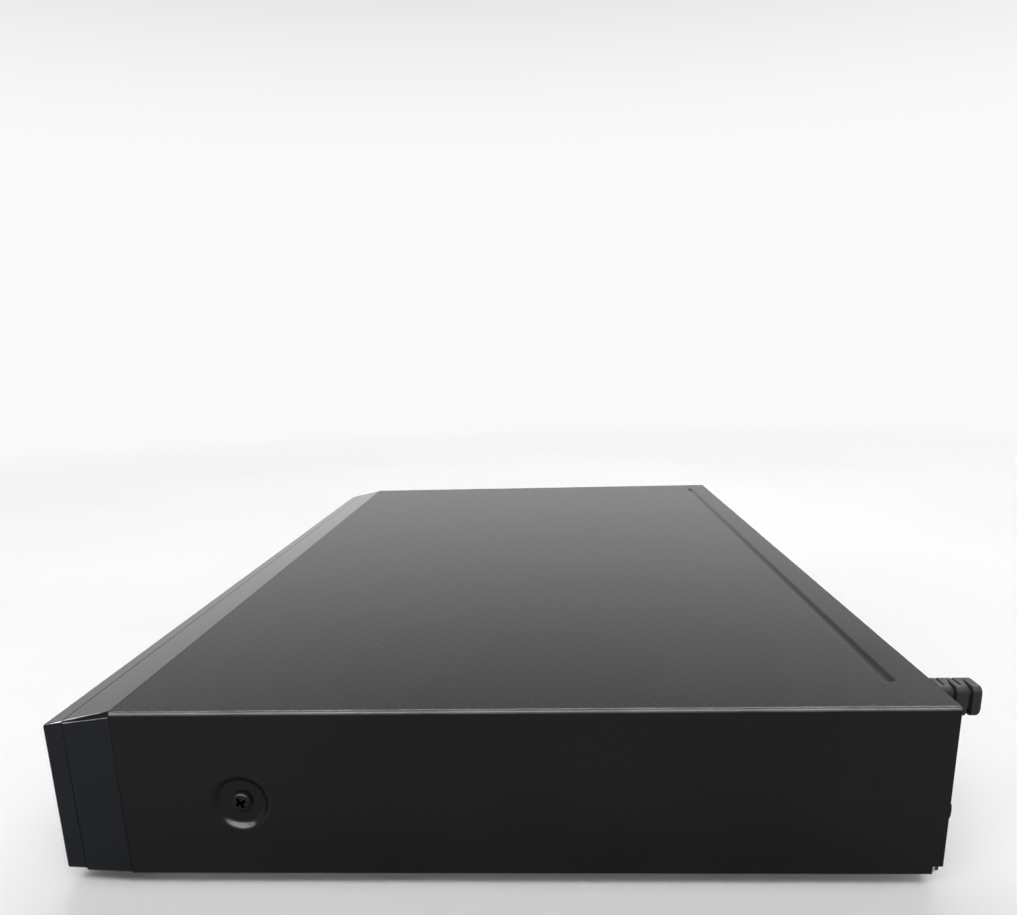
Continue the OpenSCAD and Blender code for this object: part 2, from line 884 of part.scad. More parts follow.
// Keys, each with a cap, a flange behind the fascia and a stem to its switch
module key_stem(x) {
    rod_y(stem_r, flange_y, stem_y, x, face_z);
}

module key(x) {
    box([x - key_w / 2, face_y, face_z - key_h / 2], [x + key_w / 2, flange_y + eps, face_z + key_h / 2]);
    box([x - key_w / 2 - lip, flange_y, face_z - key_h / 2 - lip],
        [x + key_w / 2 + lip, flange_y + key_flange, face_z + key_h / 2 + lip]);
    key_stem(x);
}

module open_button() color("#17191c") place() key(key_xs[0]);

module play_button() color("#17191c") place() key(key_xs[1]);

module stop_button() color("#17191c") place() key(key_xs[2]);

module power_button() color("#17191c") place() {
    rod_y(power_r, face_y, flange_y + eps, power_x, face_z);
    rod_y(power_r + lip, flange_y, flange_y + key_flange, power_x, face_z);
    key_stem(power_x);
}

module usb_flap() color("#101113") place() union() {
    box([flap_x - flap_w / 2, flap_axis_y - flap_t / 2, flap_axis_z],
        [flap_x + flap_w / 2, flap_axis_y + flap_t / 2, flap_z0 + flap_h]);
    rod_x(flap_t / 2, flap_x - flap_w / 2, flap_x + flap_w / 2, flap_axis_y, flap_axis_z);
    rod_x(flap_pin_r, flap_x - flap_w / 2 - flap_pin_l, flap_x + flap_w / 2 + flap_pin_l,
        flap_axis_y, flap_axis_z);
}

module front_board() color("#2f6b4a") place()
    box([fb_x0, fb_y0, fb_z0], [fb_x1, fb_y1, fb_z1]);

module key_board() color("#2f6b4a") place()
    box([-fb_x1, fb_y0, fb_z0], [kb_x1, fb_y1, fb_z1]);

module key_switches() color("#3a3d40") place()
    for (x = concat(key_xs, [power_x])) {
        box([x - switch_half, fb_y0 - switch_h, face_z - switch_half],
            [x + switch_half, fb_y0, face_z + switch_half]);
        rod_y(plunger_r, fb_y0 - switch_h - plunger_h, fb_y0 - switch_h + eps, x, face_z);
    }

module display_module() color("#4a5560") place()
    box([window_x0 + lip, wall_in + display_gap, window_z0 - lip],
        [window_x1 - lip, fb_y0, window_z1 + lip]);

module usb_socket() color("#b9bdc0") place() difference() {
    in_w = usb_half_w - usb_wall;
    in_h = usb_half_h - usb_wall;
    box([flap_x - usb_half_w, usb_y0, face_z - usb_half_h],
        [flap_x + usb_half_w, fb_y0, face_z + usb_half_h]);
    difference() {
        box([flap_x - in_w, usb_y0 - 1, face_z - in_h], [flap_x + in_w, fb_y0 - usb_back, face_z + in_h]);
        translate([flap_x - usb_tongue_w / 2, usb_y0 + usb_tongue_in, face_z])
            cube([usb_tongue_w, fb_y0 - usb_y0, usb_tongue_t]);
    }
}

// Main board, its chips, heat sink and sockets
module main_board() color("#2c5f45") place() difference() {
    box([-board_x1, main_y0, board_z], [-board_x0, board_y1, board_top]);
    for (p = main_pegs()) rod_z(screw_clear, board_z - 1, board_top + 1, p[0], p[1]);
}

module chip(x, y, w, d) {
    translate([x, y, board_top]) cube([w, d, chip_h]);
}

module board_chips() color("#1c1e20") place() {
    for (i = [0, 1])
        chip(-board_x1 + memory_x, main_y0 + memory_y + i * memory_pitch, memory_w, memory_d);
    chip(-board_x1 + audio_chip_in, main_y0 + audio_chip_in, memory_w, audio_chip_d);
    chip(-board_x0 - drive_chip_x, main_y0 + audio_chip_in, drive_chip_w, drive_chip_w);
}

module heat_sink() color("#9aa0a4") place() {
    translate([-board_x0 - sink_x, main_y0 + sink_y, board_top]) {
        cube([sink_w, sink_w, sink_base]);
        for (i = [0:sink_fins - 1])
            translate([i * (sink_w - fin_t) / (sink_fins - 1), 0, 0]) cube([fin_t, sink_w, sink_h]);
    }
}

module audio_jacks() color("#2a2c2e") place()
    for (i = [0, 1]) difference() {
        union() {
            translate([jack_x + i * jack_pitch - jack_block / 2, rear_in - jack_block, board_top])
                cube(jack_block);
            rod_y(jack_base_r, rear_in - eps, cover_d, jack_x + i * jack_pitch, jack_z);
            rod_y(jack_r, cover_d - eps, cover_d + jack_out, jack_x + i * jack_pitch, jack_z);
        }
        rod_y(jack_bore, rear_in - jack_block / 2, cover_d + jack_out + 1, jack_x + i * jack_pitch, jack_z);
    }

// Outer block of a rear socket that stands on the main board
module socket_block(x, w, h, l) {
    box([x - w / 2, rear_in - l, board_top], [x + w / 2, cover_d + socket_out, board_top + h]);
}

module optical_socket() color("#202224") place() difference() {
    socket_block(optical_x, optical_w, optical_h, jack_block);
    translate([optical_x, cover_d + socket_out, board_top + optical_h / 2])
        cube([optical_door, 2, optical_door], center = true);
}

module lan_socket() color("#a9adb0") place() difference() {
    socket_block(lan_x, lan_w, lan_h, lan_l);
    box([lan_x - lan_port / 2, rear_in - lan_deep, board_top + lan_low],
        [lan_x + lan_port / 2, cover_d + 1, board_top + lan_step]);
    box([lan_x - lan_port / 4, rear_in - lan_deep, board_top + lan_step - eps],
        [lan_x + lan_port / 4, cover_d + 1, board_top + lan_h - lan_low]);
}

module hdmi_socket() color("#b4b8bb") place() difference() {
    port = hdmi_w / 2 - hdmi_wall;
    low = port - hdmi_chamfer;
    mid = hdmi_wall + hdmi_chamfer;
    socket_block(hdmi_x, hdmi_w, hdmi_h, hdmi_l);
    difference() {
        translate([hdmi_x, cover_d + 1, board_top]) rotate([90, 0, 0]) linear_extrude(hdmi_deep)
            polygon([[-port, hdmi_h - hdmi_wall], [port, hdmi_h - hdmi_wall], [port, mid],
                [low, hdmi_wall], [-low, hdmi_wall], [-port, mid]]);
        box([hdmi_x - low, rear_in - hdmi_l, board_top + hdmi_h / 2 - hdmi_tongue / 2],
            [hdmi_x + low, cover_d - hdmi_wall, board_top + hdmi_h / 2 + hdmi_tongue / 2]);
    }
}

module board_screws() color("#8f9396") place()
    for (p = concat(main_pegs(), power_pegs()))
        translate([p[0], p[1], board_top]) pan_screw(board_t + peg_bite);

// Power board
module power_board() color("#7a5c32") place() difference() {
    box([board_x0, power_y0, board_z], [board_x1, board_y1, board_top]);
    for (p = power_pegs()) rod_z(screw_clear, board_z - 1, board_top + 1, p[0], p[1]);
}

module transformer() color("#c9b458") place() {
    translate([board_x0 + core_x, power_y0 + core_y, board_top]) {
        cube([core_w, core_leg, core_h]);
        translate([0, core_d - core_leg, 0]) cube([core_w, core_leg, core_h]);
        translate([coil_in, core_leg - eps, coil_low])
            cube([core_w - 2 * coil_in, core_d - 2 * core_leg + 2 * eps, core_h - 2 * coil_low]);
    }
}

module capacitors() color("#222a44") place() {
    rod_z(cap_r, board_top, board_top + cap_h, board_x0 + cap_x, power_y0 + cap_y);
    for (i = [0:2])
        rod_z(small_cap_r, board_top, board_top + small_cap_h,
            board_x0 + small_cap_x, power_y0 + small_cap_y + i * small_cap_pitch);
}

module power_heat_sink() color("#a2a7ab") place() {
    translate([board_x0 + power_sink_x, power_y0 + power_sink_y, board_top]) {
        cube([power_sink_w, fin_t, power_sink_h]);
        for (i = [0:power_fins - 1])
            translate([i * (power_sink_w - fin_t) / (power_fins - 1), 0, 0])
                cube([fin_t, power_sink_d, power_sink_h]);
    }
}

// Loose leads that stay inside the case
module power_harness() color("#c8c4b8") place() {
    x1 = board_x0 + lead_in + peg_r;
    x0 = x1 - lead_t;
    top = board_top + lead_h;
    translate([0, loader_y1 + lead_off + lead_w, 0]) rotate([90, 0, 0]) linear_extrude(lead_w)
        polygon([[-x1, board_top], [-x1, top], [x1, top], [x1, board_top], [x0, board_top],
            [x0, top - lead_t], [-x0, top - lead_t], [-x0, board_top]]);
}

module loader_ribbon() color("#d9d9d2") place() {
    x0 = -board_x0 - lead_in;
    y1 = loader_y1 + ribbon_off;
    translate([0, 0, board_top]) linear_extrude(ribbon_w)
        polygon([[-bay_half, loader_y1], [-bay_half, y1 + ribbon_t], [x0, y1 + ribbon_t],
            [x0, y1], [-bay_half - ribbon_t, y1], [-bay_half - ribbon_t, loader_y1]]);
}

// Loader frame
module loader_frame() color("#2d3033") place() difference() {
    union() {
        box([-loader_half, loader_y0, deck_z], [loader_half, loader_y1, deck_top]);
        box([-loader_half, loader_y1 - back_wall, z_loader], [loader_half, loader_y1, z_tray - 1]);
        both_sides() {
            box([loader_in, loader_y0, z_loader], [loader_half, loader_y1, bridge_z]);
            box([ledge_in, loader_y0, z_tray - tray_gap - ledge_t],
                [loader_in + eps, loader_y1 - back_wall, z_tray - tray_gap]);
            for (y = guide_ys)
                box([ledge_in, y, guide_z], [loader_in + eps, y + guide_l, guide_z + guide_t]);
            for (y = ear_ys)
                box([loader_half - eps, y - ear_half, z_loader],
                    [loader_half + ear_w, y + ear_half, z_loader + ear_t]);
            box([bay_half, pivot_y - bracket_half, trav_z - bracket_low],
                [bay_half + bracket_w, pivot_y + bracket_half, deck_z + eps]);
            for (y = stake_ys) rod_z(stake_r, bridge_z - eps, bridge_z + bridge_t + stake_over, stake_x, y);
        }
        box([-cam_rail, cam_y0 - cam_gap - rail_t, z_loader], [cam_rail, cam_y0 - cam_gap, deck_z + eps]);
        box([-cam_rail, cam_y0 - cam_gap - rail_t, z_loader], [cam_rail, lip_y0 + lip_t, cam_z0 - cam_gap]);
        box([-cam_rail, lip_y0, z_loader], [cam_rail, lip_y0 + lip_t, cam_z0 + lip_h]);
        rod_z(post_r, deck_top - eps, post_top, drive_x, gear_y);
        rod_z(post_r, deck_top - eps, post_top, pulley_x, gear_y);
    }
    box([-bay_half, cam_y0 - cam_gap, deck_z - 1], [bay_half, bay_y1, deck_top + 1]);
    both_sides() rod_x(pivot_r + slip, bay_half - 1, bay_half + bracket_w + 1, pivot_y, pivot_z);
    for (p = loader_pegs()) rod_z(screw_clear, z_loader - 1, z_loader + ear_t + 1, p[0], p[1]);
    rod_z(motor_boss_r + cam_gap, deck_z - 1, deck_top + 1, motor_x, gear_y);
}

module loader_screws() color("#8f9396") place()
    for (p = loader_pegs())
        translate([p[0], p[1], z_loader + ear_t]) pan_screw(ear_t + loader_lift);

module clamp_bridge() color("#9ca1a5") place() difference() {
    top = bridge_z + bridge_t;
    box([-loader_half, spindle_y - bridge_half, bridge_z], [loader_half, spindle_y + bridge_half, top]);
    rod_z(clamp_neck + slip, bridge_z - 1, top + 1, 0, spindle_y);
    both_sides() for (y = stake_ys) rod_z(stake_r + slip, bridge_z - 1, top + 1, stake_x, y);
}

module clamper() color("#3a3d41") place() translate([0, spindle_y, 0]) difference() {
    union() {
        rod_z(clamp_r, clamp_z, bridge_z - clamp_under, 0, 0);
        rod_z(clamp_neck, bridge_z - clamp_under - eps, cap_z + eps, 0, 0);
        rod_z(clamp_r, cap_z, cap_z + clamp_cap, 0, 0);
    }
    rod_z(yoke_r + slip, yoke_z, cap_z + clamp_cap + 1, 0, 0);
}

module clamp_yoke() color("#a7abae") place()
    rod_z(yoke_r, yoke_z, yoke_z + yoke_t, 0, spindle_y);

// Loading motor, pulleys and gears
module loading_motor() color("#8d9194") place() {
    rod_z(motor_r, deck_z - motor_h, deck_z, motor_x, gear_y);
    rod_z(motor_boss_r, deck_z - eps, deck_top - cam_gap, motor_x, gear_y);
    rod_z(motor_shaft_r - slip, deck_z, pulley_z + pulley_h - seam_gap, motor_x, gear_y);
}

module motor_pulley() color("#d8d4c4") place() difference() {
    rod_z(motor_pulley_r, pulley_z, pulley_z + pulley_h, motor_x, gear_y);
    rod_z(motor_shaft_r, pulley_z - 1, pulley_z + pulley_h + 1, motor_x, gear_y);
}

module belt_loop(grow) {
    hull() {
        translate([pulley_x, gear_y]) circle(pulley_r + grow);
        translate([motor_x, gear_y]) circle(motor_pulley_r + grow);
    }
}

module drive_belt() color("#151617") place()
    translate([0, 0, pulley_z + (pulley_h - belt_w) / 2]) linear_extrude(belt_w) difference() {
        belt_loop(belt_gap + belt_t);
        belt_loop(belt_gap);
    }

function involute(r, rb) = r <= rb ? 0 : let (a = acos(rb / r)) tan(a) * 180 / PI - a;
function half_tooth(r, n) = let (rb = n * gear_mod / 2 * cos(pressure))
    90 / n - tooth_slack / 2 / (n * gear_mod) * 180 / PI
    + tan(pressure) * 180 / PI - pressure - involute(r, rb);
function flank(n) = let (p = n * gear_mod / 2)
    [for (i = [0:6]) p - dedendum * gear_mod + (addendum + dedendum) * gear_mod * i / 6];
function gear_points(n) = [for (k = [0:n - 1], side = [-1, 1], i = [0:6])
    let (r = flank(n)[side < 0 ? i : 6 - i], a = 360 / n * k + side * half_tooth(r, n))
    [r * cos(a), r * sin(a)]];

module gear(n, turn) {
    rotate([0, 0, turn]) linear_extrude(gear_h) polygon(gear_points(n));
}

module drive_gear() color("#e2ddcc") place() translate([drive_x, gear_y, 0]) difference() {
    union() {
        translate([0, 0, gear_z]) gear(drive_teeth, 0);
        rod_z(hub_r, pulley_z, gear_z + eps, 0, 0);
    }
    rod_z(post_r + slip, pulley_z - 1, gear_z + gear_h + 1, 0, 0);
}

module pulley_gear() color("#e2ddcc") place() translate([pulley_x, gear_y, 0]) difference() {
    union() {
        translate([0, 0, gear_z]) gear(pinion_teeth, pinion_teeth % 2 == 0 ? 180 / pinion_teeth : 0);
        rod_z(pulley_r, pulley_z, pulley_z + pulley_h, 0, 0);
        rod_z(hub_r, pulley_z + pulley_h - eps, gear_z + eps, 0, 0);
    }
    rod_z(post_r + slip, pulley_z - 1, gear_z + gear_h + 1, 0, 0);
}

// Disc tray with its rack
function rack_half(d) = rack_pitch / 4 - tooth_slack / 2 - d * gear_mod * tan(pressure);
rack_tooth = [[-1, -dedendum], [-1, addendum], [1, addendum], [1, -dedendum]];
function rack_points() = [for (k = [rack_first:rack_last], c = rack_tooth)
    [rack_x + c[1] * gear_mod, gear_y + (k + 0.5) * rack_pitch + c[0] * rack_half(c[1])]];

module rack() {
    y0 = gear_y + rack_first * rack_pitch;
    y1 = gear_y + (rack_last + 1) * rack_pitch;
    root = rack_x - dedendum * gear_mod;
    translate([0, 0, gear_z]) linear_extrude(z_tray - gear_z + eps)
        polygon(concat([[rack_back, y0], [root, y0]], rack_points(), [[root, y1], [rack_back, y1]]));
}

module disc_tray() color("#191b1d") place() difference() {
    union() {
        box([-tray_half, tray_y0, z_tray], [tray_half, tray_y1, tray_top]);
        both_sides() box([tray_half - eps, tray_y0, z_tray], [wing_half, tray_y1, z_tray + wing_h]);
        rack();
    }
    rod_z(recess_r, tray_flat, tray_top + 1, 0, spindle_y);
    rod_z(small_disc_r, tray_flat - small_disc_deep, tray_top + 1, 0, spindle_y);
    rod_z(slot_w / 2, z_tray - 1, tray_top + 1, 0, spindle_y);
    box([-slot_w / 2, spindle_y, z_tray - 1], [slot_w / 2, tray_y1 + 1, tray_top + 1]);
    both_sides() {
        box([slot_w / 2 + tray_rib, spindle_y + recess_r + tray_rib, tray_flat],
            [tray_half - tray_rib, tray_y1 - tray_rib, tray_top + 1]);
        rod_z(scoop_r, tray_flat, tray_top + 1, recess_r - scoop_in, spindle_y);
    }
    rod_z(front_scoop_r, tray_flat, tray_top + 1, 0, spindle_y - recess_r + front_scoop_in);
}

module tray_front() color("#0c0d0f") place()
    box([-front_half, face_y, front_z0], [front_half, -frame_d, front_z1]);

// Traverse, lowered by the cam slider about its rear pivots
module traverse_chassis() color("#b3b7ba") place() difference() {
    union() {
        box([-trav_half, trav_y0, trav_z], [trav_half, trav_y1, trav_top]);
        both_sides() {
            box([arm_x, trav_y1 - eps, trav_z], [arm_x + arm_w, pivot_y + arm_over, trav_top]);
            rod_x(pivot_r, arm_x + arm_w - 1, bay_half + bracket_w - 0.5, pivot_y, pivot_z);
            for (y = rod_ys)
                box([rod_x0 - block_half, y, trav_top - eps],
                    [rod_x0 + block_half, y + rod_block, rod_zc + block_over]);
        }
        rod_y(cam_pin_r, cam_y0 + cam_gap, trav_y0 + 1, 0, pivot_z);
        box([feed_x - bearing_half, feed_y0, trav_top - eps],
            [feed_x + bearing_half, feed_y0 + bearing_t, feed_zc + bearing_half]);
        box([feed_x - feed_motor_r, feed_y1, trav_top - eps],
            [feed_x + feed_motor_r, feed_y1 + feed_plate, feed_zc + feed_motor_r - 0.4]);
    }
    both_sides() for (y = rod_ys) rod_y(rod_r + slip, y - 1, y + rod_block + 1, rod_x0, rod_zc);
    box([-beam_half, spindle_y + beam_y, trav_z - 1], [beam_half, trav_y1 - beam_end, trav_top + 1]);
    rod_z(sleeve_r + cam_gap, trav_z - 1, trav_top + 1, 0, spindle_y);
    rod_y(journal_r + slip, feed_y0 - 1, feed_y0 + bearing_t + 1, feed_x, feed_zc);
    rod_y(journal_r + slip, feed_y1 - 1, feed_y1 + feed_plate + 1, feed_x, feed_zc);
    box([feed_x - feed_motor_r - motor_room, feed_y1 + feed_plate, trav_z - 1],
        [trav_half + 1, feed_y1 + feed_plate + feed_motor_l + motor_room, trav_top + 1]);
}

module guide_rods() color("#d3d6d8") place() both_sides()
    rod_y(rod_r, rod_ys[0], rod_ys[1] + rod_block, rod_x0, rod_zc);

module spindle_motor() color("#7f8488") place() difference() {
    union() {
        rod_z(spindle_base_r, trav_z - spindle_base_t, trav_z, 0, spindle_y);
        rod_z(sleeve_r, trav_z - eps, rotor_z, 0, spindle_y);
        rod_z(stator_r, trav_top + stator_up, rotor_z + cup_h - 1, 0, spindle_y);
    }
    rod_z(rod_r + slip, trav_z - spindle_base_t - 1, rotor_z + cup_h, 0, spindle_y);
}

module turntable() color("#35393d") place() translate([0, spindle_y, 0]) {
    difference() {
        union() {
            rod_z(rotor_r, rotor_z, z_seat - table_t + eps, 0, 0);
            rod_z(table_r, z_seat - table_t, z_seat, 0, 0);
            translate([0, 0, z_seat - eps]) cylinder(r1 = cone_r, r2 = cone_top_r, h = hub_h + eps);
        }
        rod_z(rotor_r - rotor_wall, rotor_z - 1, rotor_z + cup_h, 0, 0);
    }
    rod_z(rod_r, trav_z, rotor_z + cup_h + eps, 0, 0);
}

module feed_motor() color("#8d9194") place() difference() {
    y0 = feed_y1 + feed_plate;
    rod_y(feed_motor_r, y0, y0 + feed_motor_l, feed_x, feed_zc);
    rod_y(journal_r + slip, y0 - 1, y0 + journal_in + 1, feed_x, feed_zc);
}

module feed_screw() color("#c9ccce") place() {
    y0 = feed_y0 + bearing_t + seam_gap;
    y1 = feed_y1 - seam_gap;
    turns = (y1 - y0) / feed_pitch;
    translate([feed_x, y0, feed_zc]) rotate([-90, 0, 0])
        linear_extrude(y1 - y0, twist = 360 * turns, slices = ceil(turns * 8), $fn = 8)
            translate([feed_off, 0]) circle(feed_core, $fn = 8);
    rod_y(journal_r, feed_y0, y0 + 1, feed_x, feed_zc);
    rod_y(journal_r, y1 - 1, feed_y1 + feed_plate + journal_in, feed_x, feed_zc);
}

module optical_pickup() color("#5b6167") place() difference() {
    union() {
        box([-pick_half, pick_y0, pick_z], [pick_half, pick_y0 + pick_l, pick_top]);
        box([-lens_block, pick_y0 + lens_in, pick_top - eps],
            [lens_block, pick_y0 + pick_l - lens_in, lens_z - lens_t]);
        box([pick_half - eps, pick_y0 + nut_y, feed_zc - nut_half],
            [feed_x - feed_core - feed_off - seam_gap, pick_y0 + nut_y + nut_l, feed_zc + nut_half]);
    }
    both_sides() rod_y(rod_r + slip, pick_y0 - 1, pick_y0 + pick_l + 1, rod_x0, rod_zc);
}

module objective_lens() color("#9fc6d8") place()
    rod_z(lens_r, lens_z - lens_t, lens_z, 0, pick_y0 + pick_l / 2);

module cam_slider() color("#d8d3c2") place() difference() {
    box([cam_x0, cam_y0, cam_z0], [cam_x1, cam_y0 + cam_t, deck_top - cam_gap]);
    rod_y(cam_slot_r, cam_y0 - 1, cam_y0 + cam_t + 1, 0, pivot_z);
    rod_y(cam_slot_r, cam_y0 - 1, cam_y0 + cam_t + 1, -cam_travel, pivot_z - cam_lift);
    translate([0, cam_y0 - 1, pivot_z]) rotate([0, -atan(cam_lift / cam_travel), 0])
        translate([-norm([cam_travel, cam_lift]), 0, -cam_slot_r])
            cube([norm([cam_travel, cam_lift]), cam_t + 2, 2 * cam_slot_r]);
}

top_cover();
base_pan();
rear_panel();
front_frame();
front_fascia();
display_window();
rubber_feet();
side_screws();
rear_screws();
cord_gland();
main_board();
board_chips();
heat_sink();
hdmi_socket();
lan_socket();
optical_socket();
audio_jacks();
board_screws();
power_board();
transformer();
capacitors();
power_heat_sink();
front_board();
key_board();
key_switches();
display_module();
usb_socket();
loader_frame();
loader_screws();
clamp_bridge();
loading_motor();
drive_belt();
loader_ribbon();
power_harness();
disc_tray();
tray_front();
drive_gear();
pulley_gear();
motor_pulley();
cam_slider();
traverse_chassis();
guide_rods();
spindle_motor();
feed_motor();
turntable();
clamper();
clamp_yoke();
optical_pickup();
objective_lens();
feed_screw();
usb_flap();
power_button();
open_button();
play_button();
stop_button();
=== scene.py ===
import json
import math

import bmesh
import bpy
from mathutils import Matrix, Vector


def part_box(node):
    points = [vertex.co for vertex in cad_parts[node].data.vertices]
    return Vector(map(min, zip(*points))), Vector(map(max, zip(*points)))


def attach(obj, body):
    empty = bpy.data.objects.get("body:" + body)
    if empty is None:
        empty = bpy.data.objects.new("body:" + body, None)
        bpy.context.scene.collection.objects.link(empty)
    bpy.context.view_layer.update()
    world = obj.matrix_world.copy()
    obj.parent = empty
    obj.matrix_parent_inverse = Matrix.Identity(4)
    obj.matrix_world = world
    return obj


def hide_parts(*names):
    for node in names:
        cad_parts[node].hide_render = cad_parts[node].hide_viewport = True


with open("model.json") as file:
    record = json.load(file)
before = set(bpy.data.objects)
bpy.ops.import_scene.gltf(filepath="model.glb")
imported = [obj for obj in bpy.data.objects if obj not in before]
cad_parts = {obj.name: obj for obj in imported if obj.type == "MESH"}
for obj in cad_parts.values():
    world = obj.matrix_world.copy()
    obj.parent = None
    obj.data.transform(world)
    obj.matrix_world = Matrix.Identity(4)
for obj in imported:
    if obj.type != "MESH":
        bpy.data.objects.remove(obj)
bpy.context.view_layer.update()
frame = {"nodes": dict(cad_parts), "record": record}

bl_info = {
    "name": "Disc player dressing",
    "version": (1, 0, 0),
    "blender": (4, 5, 0),
    "location": "View3D > Sidebar > Disc player",
    "description": "Builds the visible pieces and finishes of a disc player around its CAD frame",
    "category": "Object",
}

MM = 0.001
X, Y, Z = range(3)
CASE = "case"
COVER_LOW, COVER_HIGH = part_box("top_cover")
FASCIA_LOW, FASCIA_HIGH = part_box("front_fascia")
FRAME_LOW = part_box("front_frame")[0]
HALF_W = COVER_HIGH.x
SEAM_Y = COVER_LOW.y
FRONT_Y = FASCIA_LOW.y
JOINT_Y = FASCIA_HIGH.y
FRONT_DEEP = SEAM_Y - FRONT_Y
MIDDLE_Z = (COVER_LOW.z + COVER_HIGH.z) / 2
PANEL_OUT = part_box("rear_panel")[1].y
PANEL_IN = PANEL_OUT - 1 * MM

# Limits for finding, cutting and merging
SHARP = math.radians(35)
SQUARE = math.radians(60)
FACING = 0.9
NEAR = 0.02 * MM
FINE = 1e-6
CUT = 1e-7

# Small sizes that several pieces share
LIP = 1 * MM
FLANGE = 1 * MM
FLANGE_GAP = 0.2 * MM
FLANGE_BREAK = 0.15 * MM
FLAP_PIN = 1.2 * MM
HEAD_HIGH = 1.7 * MM
HEAD_RADIUS = 3 * MM
SCREW_HOLE = 1.7 * MM


def length(name, description, default, low=0.0):
    return bpy.props.FloatProperty(name=name, description=description, default=default, min=low,
                                   unit="LENGTH", subtype="DISTANCE", precision=5)


def share(name, description, default):
    return bpy.props.FloatProperty(name=name, description=description, default=default, min=0.0, max=1.0,
                                   subtype="FACTOR")


def paint(name, description, default):
    return bpy.props.FloatVectorProperty(name=name, description=description, default=default, size=3,
                                         min=0.0, max=1.0, subtype="COLOR")


def power(name, description, default):
    return bpy.props.FloatProperty(name=name, description=description, default=default, min=0.0,
                                   unit="POWER")


class PLAYER_PG_cover(bpy.types.PropertyGroup):
    """Sizes of the folded steel cover"""
    sheet: length("Sheet", "Thickness of the steel sheet", 0.8 * MM)
    fold: length("Fold radius", "Outside radius of the two long folds", 1.3 * MM)
    rim: length("Rim break", "Rounding of the cut edges of the sheet", 0.12 * MM)
    depth: length("Depth", "Depth from the front seam to the rear edge", 235 * MM)
    bead_in: length("Bead place", "Distance of the bead's middle from the rear edge", 12 * MM)
    bead_width: length("Bead width", "Width of the pressed bead", 4.2 * MM)
    bead_deep: length("Bead depth", "Depth of the pressed bead", 0.85 * MM)
    bead_end: length("Bead ends", "Distance of the bead's ends from the sides", 19 * MM)
    dimple: length("Dimple radius", "Outer radius of the dimple round the side screw", 9 * MM)
    dimple_floor: length("Dimple floor", "Radius of the dimple's flat floor", 6.1 * MM)
    dimple_deep: length("Dimple depth", "Depth of the dimple", 1.8 * MM)
    tab_width: length("Tab width", "Width of a rear screw tab", 14 * MM)
    tab_height: length("Tab height", "Height of a rear screw tab", 9 * MM)


class PLAYER_PG_front(bpy.types.PropertyGroup):
    """Sizes of the gloss front panel and its controls"""
    drop: length("Drop", "Drop of the top strip from the seam to the front", 4.3 * MM)
    taper: length("Taper", "Narrowing of each side from the seam to the front", 1.6 * MM)
    wall: length("Wall", "Wall thickness of the front frame", 2.5 * MM)
    rim: length("Fascia rim", "Width of the rim behind the fascia", 3 * MM)
    plate: length("Fascia plate", "Thickness of the fascia's front plate", 3 * MM)
    facet_joint: length("Facet at the joint", "Facet of the frame's upper corners at the fascia", 0.85 * MM)
    facet_seam: length("Facet at the seam", "Facet of the frame's upper corners at the cover", 1.7 * MM)
    crease: length("Crease", "Rounding of the two creases of that facet", 0.3 * MM)
    corner: length("Corner radius", "Radius of the fascia's long corners", 0.85 * MM)
    foot_corner: length("Lower corner radius", "Radius of the frame's lower long corners", 1.2 * MM)
    edge: length("Front edge radius", "Radius round the front face", 0.55 * MM)
    seam: length("Seam", "Chamfer of the frame where it meets the cover", 0.3 * MM)
    joint: length("Joint", "Chamfers of frame and fascia where they meet", 0.2 * MM)
    gap: length("Opening gap", "Gap round the keys, the window and the tray front", 0.3 * MM)
    softening: length("Key edge", "Rounding of the edges of keys and small covers", 0.45 * MM)


class PLAYER_PG_finish(bpy.types.PropertyGroup):
    """Colours of the finishes"""
    cover: paint("Cover", "Satin black paint of the cover", (0.0045, 0.005, 0.0054))
    gloss: paint("Gloss panel", "Gloss black of the front panel", (0.005, 0.006, 0.009))
    dust: paint("Dust", "Fine dust specks on the painted pieces", (0.3, 0.3, 0.29))
    # Colour of the painted highlight laid along the cover's two long folds
    fold_highlight: paint("Wear", "Rubbed paint along the cover's folds", (0.1, 0.103, 0.106))
    symbol: paint("Symbols", "Printed symbols on the keys", (0.35, 0.36, 0.37))
    gland: paint("Gland", "Dark grey of the cord gland", (0.013, 0.0135, 0.0145))
    left_ring: paint("Left ring", "Ring of the left audio jack", (0.62, 0.61, 0.57))
    right_ring: paint("Right ring", "Ring of the right audio jack", (0.42, 0.03, 0.025))
    gold: paint("Contacts", "Gilded contacts of the network socket", (0.72, 0.5, 0.16))
    grain: share("Grain", "Strength of the fine grain in the cover's paint", 0.1)
    satin: share("Satin roughness", "Roughness of the cover's paint", 0.25)


class PLAYER_PG_stage(bpy.types.PropertyGroup):
    """Camera, floor and studio light"""
    lens: bpy.props.FloatProperty(name="Lens", description="Focal length on a 36 mm sensor", default=32.013,
                                  min=1.0, unit="CAMERA")
    shift: bpy.props.FloatProperty(name="Shift", description="Upward shift of the picture", default=0.1598)
    camera: bpy.props.FloatVectorProperty(name="Camera", description="Place of the camera", size=3,
                                          default=(0.446245, 0.010068, 0.149779), subtype="TRANSLATION")
    turn: bpy.props.FloatVectorProperty(name="Turn", description="Yaw, pitch and roll of the camera", size=3,
                                        default=(0.04939, 0.28545, -0.0253), subtype="EULER")
    floor: share("Floor", "Grey of the floor", 0.8)
    low_sky: share("Low room light", "Level of the light from near the horizon", 0.95)
    high_sky: share("High room light", "Level of the light from overhead", 0.3)
    soft_watts: power("Soft lamps", "Power of each of the two broad soft lamps", 24.0)
    edge_watts: power("Edge lamps", "Power of each thin lamp at the sides that only glints", 170.0)
    front_watts: power("Front lamp", "Power of the thin lamp in front that only glints", 54.0)


# Mesh helpers

